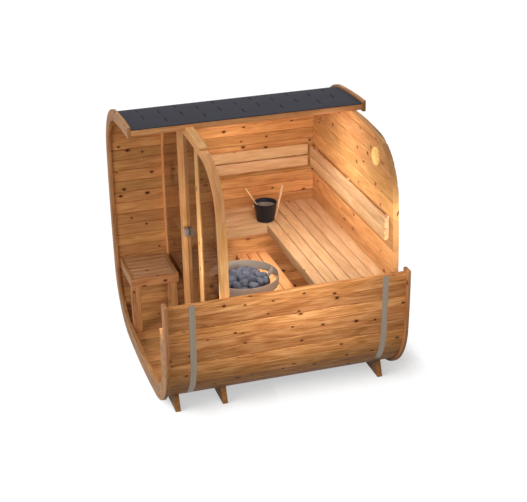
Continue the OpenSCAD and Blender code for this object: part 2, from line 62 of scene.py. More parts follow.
# Largest corner radius of a rounded rectangle, as a share of its side.
ROUND_LIMIT = 0.499
# Play of a dull surface's roughness about its mean.
ROUGH_PLAY = 0.1
# Number of the mix node's two colour inputs and of its colour output.
MIX_FIRST, MIX_SECOND, MIX_RESULT = 6, 7, 2


def linear(code: str) -> tuple[float, float, float, float]:
    """Turns an sRGB hex colour into linear RGBA.

    Args:
        code: colour such as "#b0743d".
    Returns:
        The linear red, green, blue and an alpha of 1.
    """
    parts = np.array([int(code[i:i + 2], 16) for i in (1, 3, 5)]) / 255.0
    light = np.where(parts <= 0.04045, parts / 12.92, ((parts + 0.055) / 1.055) ** 2.4)
    return (*light.tolist(), 1.0)


def add(tree: Tree, kind: str, inputs: dict[Any, Any] | None = None, **settings: Any) -> bpy.types.Node:
    """Adds a node with its settings, input values and links.

    Args:
        tree: node tree that takes the node.
        kind: Blender's name of the node type.
        inputs: value or output socket for each input, by the input's name or number.
        **settings: the node's own properties.
    Returns:
        The new node.
    """
    node = tree.nodes.new(kind)
    for key, value in settings.items():
        setattr(node, key, value)
    for key, value in (inputs or {}).items():
        if isinstance(value, Socket):
            tree.links.new(value, node.inputs[key])
        else:
            node.inputs[key].default_value = value
    return node


def about(middle: float, play: float) -> Pair:
    """Range about a middle value."""
    return middle - play, middle + play


def blend(tree: Tree, share: Socket, first: str | Socket, second: str | Socket) -> Socket:
    """Mixes two colours, each a hex code or a socket, by a share from 0 to 1."""
    ends = [linear(end) if isinstance(end, str) else end for end in (first, second)]
    inputs = {"Factor": share, MIX_FIRST: ends[0], MIX_SECOND: ends[1]}
    return add(tree, "ShaderNodeMix", inputs, data_type="RGBA").outputs[MIX_RESULT]


def reckon(tree: Tree, operation: str, *values: float | Socket) -> Socket:
    """Works out one of Blender's math operations on values or sockets."""
    return add(tree, "ShaderNodeMath", dict(enumerate(values)), operation=operation).outputs[0]


def ranged(tree: Tree, value: float | Socket, reach: Pair = (0.0, 1.0), onto: Pair = (0.0, 1.0),
           smooth: bool = False) -> Socket:
    """Carries a value from one range onto another, evenly or with soft ends."""
    inputs = {"Value": value, "From Min": reach[0], "From Max": reach[1],
              "To Min": onto[0], "To Max": onto[1]}
    kind = "SMOOTHSTEP" if smooth else "LINEAR"
    return add(tree, "ShaderNodeMapRange", inputs, interpolation_type=kind).outputs[0]


def stretch(tree: Tree, place: Socket, sizes: Sequence[float]) -> Socket:
    """Scales a place so that a pattern has one real size in metres along each axis."""
    return add(tree, "ShaderNodeMapping", {"Vector": place, "Scale": [1 / size for size in sizes]}).outputs[0]


def noise(tree: Tree, place: Socket, size: float, detail: float, **more: float) -> Socket:
    """Noise texture whose lumps have a real size in metres, or 1 where the place is stretched already."""
    inputs = {"Vector": place, "Scale": 1 / size, "Detail": detail, **more}
    return add(tree, "ShaderNodeTexNoise", inputs).outputs["Fac"]


def bump(tree: Tree, height: Socket, strength: float, depth: float) -> Socket:
    """Tilts the surface by a height pattern of a depth in metres."""
    return add(tree, "ShaderNodeBump", {"Height": height, "Strength": strength, "Distance": depth}).outputs[0]


def object_place(tree: Tree) -> Socket:
    """Place on the object in its own coordinates."""
    return add(tree, "ShaderNodeTexCoord").outputs["Object"]


def board_number(tree: Tree) -> Socket:
    """Number from 0 to 1 of the board that the point lies on."""
    return add(tree, "ShaderNodeAttribute", attribute_name="board").outputs["Fac"]


def new_tree(name: str) -> tuple[Material, Tree]:
    """Makes an empty node material and returns it with its tree."""
    made = bpy.data.materials.new(name)
    made.use_nodes = True
    made.node_tree.nodes.clear()
    return made, made.node_tree


def surface(tree: Tree, inputs: dict[str, Any]) -> None:
    """Ends a material's tree with a principled shader of the given inputs."""
    shader = add(tree, "ShaderNodeBsdfPrincipled", inputs)
    add(tree, "ShaderNodeOutputMaterial", {"Surface": shader.outputs[0]})


class Run(Enum):
    """Direction that a board or its grain runs in; MAP follows the piece's own grain map."""

    X = 0
    Y = 1
    Z = 2
    MAP = 3

    @property
    def axis(self) -> int:
        """Number of the coordinate along the run; the grain map runs along its first."""
        return 0 if self is Run.MAP else self.value


@dataclass(frozen=True)
class Timber:
    """Planed and oiled softwood: streaks of late wood, fine fibres, a tone for each board, small knots."""

    name: str
    slot: str
    light: str
    middle: str
    dark: str
    run: Run = Run.MAP
    streak: float = 0.013
    reach: float = 0.32
    patch: float = 0.045
    patch_reach: float = 0.30
    # Real fibres are under a millimetre; 5 mm is the finest that shows at this size.
    fibre: float = 0.005
    fibre_reach: float = 0.22
    streak_rough: float = 0.6
    streak_warp: float = 0.35
    patch_warp: float = 0.8
    # Shares of fibres, patches and streaks in the figure, and the ranges of late and early wood in it.
    weights: Triple = (0.28, 0.40, 0.32)
    late: Pair = (0.34, 0.48)
    early: Pair = (0.48, 0.64)
    tone: float = 0.36
    hue: Pair = (0.494, 0.504)
    # Knots: one in a cell or none, with radii in cells and a dark core inside a paler ring.
    knot: str = "#3a1d15"
    halo: str = "#7d4523"
    knot_spacing: float = 0.155
    knot_stretch: float = 1.5
    knot_share: float = 0.68
    knot_size: Pair = (0.032, 0.075)
    core: Pair = (0.7, 1.15)
    ring: Pair = (0.9, 2.4)
    ring_strength: float = 0.55
    rough: float = 0.52
    gloss: float = 0.15
    relief: Pair = (0.3, 0.002)

    def grain(self, tree: Tree, place: Socket, across: float, along: float) -> Socket:
        """Place stretched to one pattern size across the grain and another along it."""
        sizes = [across] * 3
        sizes[self.run.axis] = along
        return stretch(tree, place, sizes)

    @lru_cache(maxsize=None)
    def material(self) -> Material:
        """Builds the node material: stretched noise mixes three wood colours, cells place the knots."""
        made, tree = new_tree(self.name)
        mapped = self.run is Run.MAP
        if mapped:
            place = add(tree, "ShaderNodeUVMap", uv_map="grain").outputs["UV"]
            board = board_number(tree)
        else:
            place = object_place(tree)
            board = 0.5
        streaks = self.grain(tree, place, self.streak, self.reach)
        fibres = self.grain(tree, place, self.fibre, self.fibre_reach)
        patches = self.grain(tree, place, self.patch, self.patch_reach)
        broad = noise(tree, streaks, 1.0, 3.0, Roughness=self.streak_rough, Distortion=self.streak_warp)
        fine = noise(tree, fibres, 1.0, 2.0)
        slow = noise(tree, patches, 1.0, 2.0, Distortion=self.patch_warp)
        figure = reckon(tree, "MULTIPLY", fine, self.weights[0])
        figure = reckon(tree, "MULTIPLY_ADD", slow, self.weights[1], figure)
        figure = reckon(tree, "MULTIPLY_ADD", broad, self.weights[2], figure)
        body = blend(tree, ranged(tree, figure, self.late), self.dark, self.middle)
        body = blend(tree, ranged(tree, figure, self.early), body, self.light)
        value = ranged(tree, board, onto=about(1.0, self.tone / 2))
        stray = add(tree, "ShaderNodeTexWhiteNoise", {"W": board}, noise_dimensions="1D").outputs["Value"]
        hue = ranged(tree, stray, onto=self.hue)
        body = add(tree, "ShaderNodeHueSaturation", {"Color": body, "Value": value, "Hue": hue}).outputs[0]
        cells = self.grain(tree, place, self.knot_spacing, self.knot_stretch * self.knot_spacing)
        cell = add(tree, "ShaderNodeTexVoronoi", {"Vector": cells, "Scale": 1.0, "Randomness": 1.0},
                   voronoi_dimensions="2D" if mapped else "3D")
        chance = add(tree, "ShaderNodeSeparateColor", {0: cell.outputs["Color"]}).outputs[0]
        bare = 1 - self.knot_share
        there = reckon(tree, "GREATER_THAN", chance, bare)
        size = ranged(tree, chance, (bare, 1.0), self.knot_size)
        ratio = reckon(tree, "DIVIDE", cell.outputs["Distance"], size)
        for colour, reach, most in ((self.halo, self.ring, self.ring_strength), (self.knot, self.core, 1.0)):
            share = ranged(tree, ratio, reach, (most, 0.0), smooth=True)
            body = blend(tree, reckon(tree, "MULTIPLY", share, there), body, colour)
        rough = ranged(tree, fine, onto=about(self.rough, ROUGH_PLAY))
        surface(tree, {"Base Color": body, "Roughness": rough, "Normal": bump(tree, figure, *self.relief),
                       "Specular IOR Level": self.gloss})
        return made


@dataclass(frozen=True)
class Metal:
    """Rolled or brushed metal sheet: fine scratches along it, slightly uneven gloss, a warm or cool cast."""

    name: str
    slot: str
    bright: str
    dull: str
    rough: float = 0.34
    rough_play: float = 0.08
    metallic: float = 1.0
    scratch: Triple = (0.3, 0.004, 0.3)
    relief: Pair = (0.15, 0.0005)

    @lru_cache(maxsize=None)
    def material(self) -> Material:
        """Builds the node material: noise stretched along the sheet varies colour, gloss and height."""
        made, tree = new_tree(self.name)
        brushed = noise(tree, stretch(tree, object_place(tree), self.scratch), 1.0, 3.0)
        surface(tree, {"Base Color": blend(tree, brushed, self.dull, self.bright),
                       "Roughness": ranged(tree, brushed, onto=about(self.rough, self.rough_play)),
                       "Normal": bump(tree, brushed, *self.relief), "Metallic": self.metallic})
        return made


@dataclass(frozen=True)
class Mineral:
    """Dull grained stuff such as shingle grit, stone or cast plastic: patches, specks and small pits."""

    name: str
    slot: str
    light: str
    dark: str
    patch: float
    speck: float
    contrast: Pair = (0.36, 0.64)
    rough: float = 0.85
    pits: float = 0.5
    depth: float = 0.003
    tone: float = 0.5
    by_board: bool = True

    @lru_cache(maxsize=None)
    def material(self) -> Material:
        """Builds the node material: coarse and fine noise mix two colours, the fine one also makes pits."""
        made, tree = new_tree(self.name)
        place = object_place(tree)
        patch = noise(tree, place, self.patch, 3.0)
        speck = noise(tree, place, self.speck, 1.0)
        mean = reckon(tree, "MULTIPLY_ADD", patch, 0.5, reckon(tree, "MULTIPLY", speck, 0.5))
        body = blend(tree, ranged(tree, mean, self.contrast), self.dark, self.light)
        if self.by_board:
            value = ranged(tree, board_number(tree), onto=about(1.0, self.tone / 2))
            body = add(tree, "ShaderNodeHueSaturation", {"Color": body, "Value": value}).outputs[0]
        smooth, dull = about(self.rough, ROUGH_PLAY)
        surface(tree, {"Base Color": body, "Roughness": ranged(tree, patch, onto=(smooth, min(1.0, dull))),
                       "Normal": bump(tree, speck, self.pits, self.depth)})
        return made


@dataclass(frozen=True)
class Glass:
    """Toughened float glass tinted bronze: clear and polished, it darkens and warms what stands behind it."""

    name: str
    slot: str
    tint: str
    deep: str
    rough: float = 0.02
    ior: float = 1.45
    ripple: float = 0.35

    @lru_cache(maxsize=None)
    def material(self) -> Material:
        """Builds the node material: a slow noise varies the tint a little, as in real tinted float glass."""
        made, tree = new_tree(self.name)
        slow = noise(tree, object_place(tree), self.ripple, 1.0)
        surface(tree, {"Base Color": blend(tree, slow, self.deep, self.tint), "Roughness": self.rough,
                       "IOR": self.ior, "Transmission Weight": 1.0})
        return made


Finish = Timber | Metal | Mineral | Glass

# Thermally treated pine of the shell: warm brown, strong changes from stave to stave, many small dark knots.
STAVE_PINE = Timber("thermo_pine_staves", "thermo_pine_staves", "#dfab70", "#c88f57", "#a26c3d", tone=0.40,
                    knot_share=0.58)
# The same staves on the near wall and its lower corner: deeper red-brown, which is painted shade, with
# stronger streaks.
SHADED_NEAR_PINE = replace(STAVE_PINE, name="shaded_near_pine_staves", light="#e3ad74", middle="#bd8049",
                    dark="#87532b", tone=0.46, streak=0.009, reach=0.22)
# The back wall: paler, which is painted light, with a quieter grain.
LIT_BACK_PINE = replace(STAVE_PINE, name="lit_pale_pine_boards", light="#e3b278", middle="#cf985f", dark="#b07a47",
                    tone=0.36)
# The roof staves, seen mostly on their sawn edge: paler than the oiled faces.
ROOF_PINE = replace(STAVE_PINE, name="edge_pine_staves", light="#e6b07c", middle="#d29a66", dark="#b37c4b")
# The same pine on rings, sill and the frame of the porch seat: a little darker, with quieter tones.
TRIM_PINE = Timber("thermo_pine_trim", "thermo_pine_trim", "#d4a06d", "#ba8555", "#92603c", tone=0.2)
TRIM_PINE_X = replace(TRIM_PINE, name="thermo_pine_trim_across", run=Run.X)
# Boards of the porch seat, worn paler by use.
SEAT_PINE = replace(TRIM_PINE, name="worn_seat_pine", light="#dcb085", middle="#c6976c", dark="#a0724f")
# Rough pine of the cradle feet: darker, which is painted shade under the shell's bulge.
SHADED_FOOT_PINE = replace(TRIM_PINE_X, name="shaded_cradle_pine", light="#b98452", middle="#9c6a3f", dark="#77492a")
# Oiled pine of the front frame: bright orange, straight grain.
FRAME_PINE = Timber("oiled_pine_frame", "front_frame_pine", "#f6c286", "#e4a76b", "#c88750", tone=0.16,
                    knot_share=0.2)
# Sanded aspen of benches and backrests: pale tan, close even grain, few marks.
BENCH_ASPEN = Timber("sanded_aspen", "bench_aspen", "#dfbe94", "#d1a97c", "#c09366", tone=0.16,
                     knot_share=0.08, knot="#8f6140", halo="#b98650", rough=0.58)
# The same aspen on the step, with the pit's warm shade painted in: warmer and more orange.
SHADED_STEP_ASPEN = replace(BENCH_ASPEN, name="step_aspen_warm_shade", light="#e8b27c", middle="#d99a60", dark="#c28048")
# Sanded birch of ladle and grip: cream, almost plain.
BIRCH = Timber("sanded_birch", "grip_birch", "#eed3ab", "#e2c197", "#cfa87c", tone=0.08, knot_share=0.0,
               rough=0.55)
# The vent cover, waxed: the same birch, golden.
WAXED_BIRCH = replace(BIRCH, name="waxed_birch", light="#ffe09a", middle="#fbd085", dark="#ecb96a")
# Bitumen shingle with slate grit: charcoal, dull, each tab a shade of its own.
SHINGLE = Mineral("bitumen_shingle", "bitumen_shingle", "#34343e", "#24242d", patch=0.16, speck=0.009,
                  tone=0.12)
# Bitumen felt under the shingles, seen only in their slots: near black, darker than the shingles, so that it
# paints the shade in the slots.
SLOT_SHADE_FELT = Mineral("bitumen_felt_slot_shade", "bitumen_shingle", "#131318", "#0b0b0f", patch=0.16, speck=0.009,
               by_board=False)
# Hoop steel strap: warm grey, brushed along the strap.
BAND_STEEL = Metal("hoop_steel", "steel_band", "#a39686", "#807363", metallic=0.6)
# Brushed stainless sheet of the stove's guard: pale warm taupe, which is the warm room's light painted into
# the steel.
GUARD_STEEL = Metal("brushed_guard_steel", "guard_steel", "#eaddcd", "#d3c5b4", rough=0.5, metallic=0.15,
                    scratch=(0.3, 0.3, 0.004))
# Heat-proof painted steel of the stove: a dull near black.
STOVE_STEEL = Metal("stove_paint", "stove_steel", "#2b2a2a", "#191818", rough=0.55, metallic=0.3,
                    scratch=(0.05, 0.05, 0.05))
# Satin brass of the hinges: a small yellow glint.
HINGE_BRASS = Metal("satin_brass", "hinge_brass", "#d2b46a", "#a8873f", rough=0.3)
# Brushed steel of the door pull: a soft warm grey.
PULL_STEEL = Metal("brushed_pull_steel", "handle_steel", "#b9a9a1", "#9c8c85", rough=0.42, metallic=0.35,
                   scratch=(0.004, 0.1, 0.1))
# Olivine-like stove stone: blue-grey, mottled, rough.
STONE = Mineral("stove_stone", "stove_stone", "#767c8c", "#4c515d", patch=0.05, speck=0.008, depth=0.002,
                pits=0.3, tone=0.4)
# Moulded plastic of the bucket: a cool black with a slight sheen.
BUCKET_BLACK = Mineral("moulded_bucket", "bucket_black", "#1b222e", "#121722", patch=0.05, speck=0.01,
                       rough=0.5, pits=0.1, depth=0.0005, by_board=False)
# Still water, seen as a dull grey-brown mirror.
WATER = Mineral("bucket_water", "bucket_black", "#8a8378", "#777166", patch=0.06, speck=0.03, rough=0.2,
                pits=0.05, depth=0.001, by_board=False)
# Bronze-tinted glass of the front: it darkens the wall behind it and hardly mirrors.
BRONZE_GLASS = Glass("bronze_glass", "bronze_glass", "#aea5a0", "#9d9590")


def dress(node: str, finish: Finish) -> None:
    """Gives a kept CAD node its finish."""
    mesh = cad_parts[node].data
    mesh.materials.clear()
    mesh.materials.append(finish.material())
    LOG.info("dressed %s in %s", node, finish.name)


@dataclass(frozen=True)
class Arc:
    """Arc of the shell's outline in the plane across the shell, with its centre, radius and two angles."""

    x: float
    z: float
    radius: float
    start: float
    stop: float

    def place(self, angle: Array, inset: Array | float) -> Array:
        """Points at the given angles, radius less inset from the centre: the last axis is (x, z)."""
        reach = self.radius - inset
        return np.stack([self.x + reach * np.cos(angle), self.z + reach * np.sin(angle)], -1)


@dataclass(frozen=True)
class Outline:
    """Rounded-square outline of the shell: slightly bowed sides, roof and floor, joined by tight corners."""

    half_width: float = 1.050
    half_height: float = 1.080
    middle: float = 1.116
    side_radius: float = 6.900
    top_radius: float = 5.350
    corner_radius: float = 0.520
    near_cut: float = 1.066
    roof_cut: float = 0.026
    least: float = 1e-5

    @property
    def side(self) -> float:
        """Distance of the near wall's arc centre from the middle."""
        return self.half_width - self.side_radius

    @property
    def top(self) -> float:
        """Height of the roof's arc centre above the middle."""
        return self.half_height - self.top_radius

    @lru_cache(maxsize=None)
    def corner(self) -> tuple[float, float, float, float]:
        """Corner centre, where circles about the side and roof centres meet, and the angles of its ends."""
        start = np.array([self.side, 0.0])
        step = np.array([0.0, self.top]) - start
        span = float(np.linalg.norm(step))
        side = self.side_radius - self.corner_radius
        top = self.top_radius - self.corner_radius
        along = (side ** 2 - top ** 2 + span ** 2) / (2 * span)
        across = math.sqrt(side ** 2 - along ** 2)
        unit = step / span
        spot = start + along * unit + across * np.array([-unit[1], unit[0]])
        return float(spot[0]), float(spot[1]), math.asin(spot[1] / side), math.acos(spot[0] / top)

    @lru_cache(maxsize=None)
    def arcs(self) -> dict[str, Arc]:
        """The outline's arcs by name, clockwise from the near wall's cut, under the floor, over the roof."""
        kx, kz, low, high = self.corner()
        near = math.asin((self.near_cut - self.middle) / self.side_radius)
        ridge = math.acos(self.roof_cut / self.top_radius)
        mid, bend = self.middle, self.corner_radius
        return {
            "near_wall": Arc(self.side, mid, self.side_radius, near, -low),
            "near_lower_corner": Arc(kx, mid - kz, bend, -low, -high),
            "floor_staves": Arc(0.0, mid - self.top, self.top_radius, -high, high - PI),
            "far_lower_corner": Arc(-kx, mid - kz, bend, high - PI, low - PI),
            "far_wall": Arc(-self.side, mid, self.side_radius, low - PI, -low - PI),
            "far_upper_corner": Arc(-kx, mid + kz, bend, -low - PI, -high - PI),
            "roof_staves": Arc(0.0, mid + self.top, self.top_radius, -high - PI, ridge - TAU),
            "near_roof": Arc(0.0, mid + self.top, self.top_radius, ridge - TAU, high - TAU),
            "near_upper_corner": Arc(kx, mid + kz, bend, high - TAU, low - TAU),
            "near_upper_wall": Arc(self.side, mid, self.side_radius, low - TAU, near - TAU),
        }

    def half(self, z: Array, inset: float) -> Array:
        """Half width of the inset outline at height z, on the side, corner or roof circle that covers it."""
        kx, kz, low, high = self.corner()
        rise = np.minimum(np.abs(z - self.middle), self.half_height - inset - self.least)
        side = self.side + np.sqrt(np.maximum((self.side_radius - inset) ** 2 - rise ** 2, 0))
        bend = kx + np.sqrt(np.maximum((self.corner_radius - inset) ** 2 - (rise - kz) ** 2, 0))
        roof = np.sqrt(np.maximum((self.top_radius - inset) ** 2 - (rise - self.top) ** 2, 0))
        at_side = rise <= (self.side_radius - inset) * math.sin(low)
        at_bend = rise <= kz + (self.corner_radius - inset) * math.sin(high)
        return np.where(at_side, side, np.where(at_bend, bend, roof))

    def rise(self, x: Array, inset: float) -> Array:
        """Height of the inset roof arc above the middle at distance x from the middle."""
        return self.top + np.sqrt((self.top_radius - inset) ** 2 - np.asarray(x) ** 2)


OUTLINE = Outline()


def rounded_rectangle(width: float, height: float, radius: float, steps: int = 3) -> Array:
    """Rectangle with rounded corners about the origin: quarter circles round its four inset corners.

    Args:
        width: size along the first axis.
        height: size along the second axis.
        radius: corner radius.
        steps: straight pieces in a quarter circle.
    Returns:
        Points in order round the outline, as (points, 2).
    """
    turn = np.arange(4)[:, None] * PI / 2 + np.linspace(0, PI / 2, steps + 1)[None, :]
    radius = min(radius, ROUND_LIMIT * width, ROUND_LIMIT * height)
    x = np.array([1, -1, -1, 1])[:, None] * (width / 2 - radius) + radius * np.cos(turn)
    y = np.array([1, 1, -1, -1])[:, None] * (height / 2 - radius) + radius * np.sin(turn)
    return np.stack([x.ravel(), y.ravel()], -1)


def girth(points: Array) -> Array:
    """Distance round a closed row of points, from the first point back to it."""
    steps = np.linalg.norm(np.roll(points, -1, 0) - points, axis=-1)
    return np.concatenate([[0.0], np.cumsum(steps)])


def slat_width(span: float, count: int, gap: float) -> float:
    """Width of each of a row of equal boards that fills a span with gaps between them."""
    return (span - (count - 1) * gap) / count


@dataclass
class Skin:
    """Closed lofts gathered into one mesh, each with its stretch of the grain map and its board number."""

    spots: list[Array] = field(default_factory=list)
    loops: list[Array] = field(default_factory=list)
    counts: list[Array] = field(default_factory=list)
    grain: list[Array] = field(default_factory=list)
    numbers: list[Array] = field(default_factory=list)
    total: int = 0

    def loft(self, rings: Array, along: Array, around: Array, number: float | None = None,
             turn: Matrix | None = None) -> None:
        """Joins a row of equal rings by quads, closes both ends and turns faces outward by the volume's sign.

        Args:
            rings: points as (rings, points in a ring, 3).
            along: grain-map place of each ring, along the grain.
            around: grain-map place of each ring point, across the grain, one more than the points.
            number: board number from 0 to 1, drawn where it isn't given.
            turn: matrix that carries the points to their place.
        """
        number = float(DRAW.random()) if number is None else number
        if turn is not None:
            rings = rings @ np.array(turn.to_3x3()).T + np.array(turn.translation)
        n, m = rings.shape[:2]
        i, j = np.arange(n - 1)[:, None], np.arange(m)[None, :]
        nj = (j + 1) % m
        quads = np.stack([i * m + j, i * m + nj, (i + 1) * m + nj, (i + 1) * m + j], -1).reshape(-1, 4)
        u = np.broadcast_to(np.stack([along[i], along[i], along[i + 1], along[i + 1]], -1), (n - 1, m, 4))
        v = np.broadcast_to(np.stack([around[j], around[j + 1], around[j + 1], around[j]], -1), (n - 1, m, 4))
        caps = np.stack([np.arange(m)[::-1], (n - 1) * m + np.arange(m)])
        cap_u = np.stack([np.full(m, along[0]), np.full(m, along[-1])])
        cap_v = np.stack([around[:m][::-1], around[:m]])
        flat = rings.reshape(-1, 3) - rings.reshape(-1, 3).mean(0)
        a, b, c, d = (flat[quads[:, k]] for k in range(4))
        volume = np.sum(a * np.cross(b, c)) + np.sum(a * np.cross(c, d))
        for cap in caps:
            ends = flat[cap]
            volume += np.sum(ends.mean(0) * np.cross(ends, np.roll(ends, -1, 0)))
        order = slice(None, None, -1 if volume < 0 else 1)
        uv = np.concatenate([np.stack([u, v], -1).reshape(-1, 4, 2)[:, order].reshape(-1, 2),
                             np.stack([cap_u, cap_v], -1)[:, order].reshape(-1, 2)])
        self.spots.append(rings.reshape(-1, 3))
        self.loops.append(np.concatenate([quads[:, order].ravel(), caps[:, order].ravel()]) + self.total)
        self.counts.append(np.concatenate([np.full(len(quads), 4), [m, m]]))
        self.grain.append(uv + number * GRAIN_STEP)
        self.numbers.append(np.full(n * m, number))
        self.total += n * m

    def prism(self, outer: Array, inner: Array, run: Run, low: float, high: float, ease: float,
              number: float | None = None, turn: Matrix | None = None) -> None:
        """Carries a profile along an axis and draws it in to a smaller profile at both end faces.

        Args:
            outer: profile in the two other axes, as (points, 2).
            inner: profile of the end faces, with as many points.
            run: axis of the run.
            low: start of the run.
            high: end of the run.
            ease: length of the drawn-in ends.
            number: board number.
            turn: matrix that carries the points to their place.
        """
        spots = np.array([low, low + ease, high - ease, high])
        rings = np.empty((4, len(outer), 3))
        rings[..., run.axis] = spots[:, None]
        rest = [k for k in range(3) if k != run.axis]
        rings[..., rest] = np.stack([inner, outer, outer, inner])
        self.loft(rings, spots, girth(outer), number, turn)

    def extrude(self, profile: Array, run: Run, low: float, high: float, ease: float = 0.002,
                number: float | None = None, turn: Matrix | None = None) -> None:
        """Carries a profile along an axis; the end faces are the profile scaled in by the ease."""
        middle = (profile.min(0) + profile.max(0)) / 2
        inner = middle + (profile - middle) * (1 - 2 * ease / np.ptp(profile, axis=0))
        self.prism(profile, inner, run, low, high, ease, number, turn)

    def board(self, low: Sequence[float], high: Sequence[float], run: Run, ease: float = 0.003,
              number: float | None = None, turn: Matrix | None = None) -> None:
        """Straight board between two corners: a rounded rectangle carried along its run.

        Args:
            low: lowest corner.
            high: highest corner.
            run: axis of the run.
            ease: radius of the long edges.
            number: board number.
            turn: matrix that carries the points to their place.
        """
        low, high = np.array(low, float), np.array(high, float)
        rest = [k for k in range(3) if k != run.axis]
        size = (high - low)[rest]
        profile = rounded_rectangle(size[0], size[1], ease) + (low + high)[rest] / 2
        self.extrude(profile, run, low[run.axis], high[run.axis], END_EASE * ease, number, turn)

    def slats(self, low: Sequence[float], high: Sequence[float], run: Run, count: int, gap: float,
              ease: float, places: slice = slice(None)) -> None:
        """Row of equal level boards, side by side across their run, that fills a box.

        Args:
            low: lowest corner of the box.
            high: highest corner of the box.
            run: axis of the run, X or Y.
            count: boards that the box has room for.
            gap: gap between two boards.
            ease: radius of the long edges.
            places: places in the row that get a board.
        """
        side = 1 - run.axis
        width = slat_width(high[side] - low[side], count, gap)
        for i in range(count)[places]:
            first, last = list(low), list(high)
            first[side] = low[side] + i * (width + gap)
            last[side] = first[side] + width
            self.board(first, last, run, ease)

    def hoop(self, arc: Arc, over: float, under: float, front: float, back: float, ease: float = 0.003,
             number: float | None = None, pitch: float = 0.03) -> None:
        """Curved board: a rounded rectangle carried round an arc and drawn in at its ends.

        Args:
            arc: arc that the board follows.
            over: inset of its outer face.
            under: inset of its inner face.
            front: its front face along the shell.
            back: its back face along the shell.
            ease: radius of the long edges.
            number: board number.
            pitch: length of a step round the arc.
        """
        span = arc.stop - arc.start
        count = max(3, int(abs(span) * arc.radius / pitch) + 2)
        tip = END_EASE * ease / (arc.radius * abs(span))
        share = np.concatenate([[0.0], np.linspace(tip, 1 - tip, count), [1.0]])
        angle = arc.start + span * share
        full = rounded_rectangle(under - over, back - front, ease)
        less = 2 * END_EASE * ease
        drawn = rounded_rectangle(under - over - less, back - front - less, ease)
        profile = np.where((share % 1.0 == 0.0)[:, None, None], drawn, full)
        spots = arc.place(angle[:, None], (over + under) / 2 - profile[..., 0])
        y = (front + back) / 2 + profile[..., 1]
        rings = np.stack([spots[..., 0], y, spots[..., 1]], -1)
        self.loft(rings, share * abs(span) * arc.radius, girth(full), number)

    def lathe(self, profile: Array, count: int, number: float, turn: Matrix) -> None:
        """Turned piece: each (radius, height) of the profile becomes a circle about the Z axis.

        Args:
            profile: radius and height in order from one flat end to the other.
            count: points in a circle.
            number: board number.
            turn: matrix that carries the points to their place.
        """
        angle = np.linspace(0, TAU, count, endpoint=False)
        reach, rise = profile[:, :1], profile[:, 1:]
        rise = np.broadcast_to(rise, (len(profile), count))
        rings = np.stack([reach * np.cos(angle), reach * np.sin(angle), rise], -1)
        steps = np.linalg.norm(np.diff(profile, axis=0), axis=-1)
        along = np.concatenate([[0.0], np.cumsum(steps)])
        self.loft(rings, along, girth(rings[len(profile) // 2]), number, turn)

    def piece(self, name: str, finish: Finish, *nodes: str, body: str = "cabin", sharp: float = 30.0) -> None:
        """Makes the gathered lofts one object that rides on a body and stands for CAD nodes.

        Args:
            name: name of the piece.
            finish: its finish.
            *nodes: CAD nodes that it stands for.
            body: body that it rides on.
            sharp: angle in degrees past which an edge stays sharp.
        """
        counts = np.concatenate(self.counts)
        loops = np.concatenate(self.loops)
        mesh = bpy.data.meshes.new(name)
        mesh.vertices.add(self.total)
        mesh.vertices.foreach_set("co", np.concatenate(self.spots).astype(np.float32).ravel())
        mesh.loops.add(len(loops))
        mesh.loops.foreach_set("vertex_index", loops.astype(np.int32))
        mesh.polygons.add(len(counts))
        mesh.polygons.foreach_set("loop_start", (np.cumsum(counts) - counts).astype(np.int32))
        mesh.update(calc_edges=True)
        grain = mesh.uv_layers.new(name="grain")
        grain.data.foreach_set("uv", np.concatenate(self.grain).astype(np.float32).ravel())
        board = mesh.attributes.new("board", "FLOAT", "POINT")
        board.data.foreach_set("value", np.concatenate(self.numbers).astype(np.float32))
        mesh.polygons.foreach_set("use_smooth", np.ones(len(counts), bool))
        mesh.set_sharp_from_angle(angle=math.radians(sharp))
        mesh.validate()
        mesh.materials.append(finish.material())
        made = bpy.data.objects.new(name, mesh)
        bpy.context.scene.collection.objects.link(made)
        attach(made, body)
        if nodes:
            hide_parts(*nodes)
        LOG.info("built %s: %d faces for %s", name, len(counts), ", ".join(nodes) or "no node")


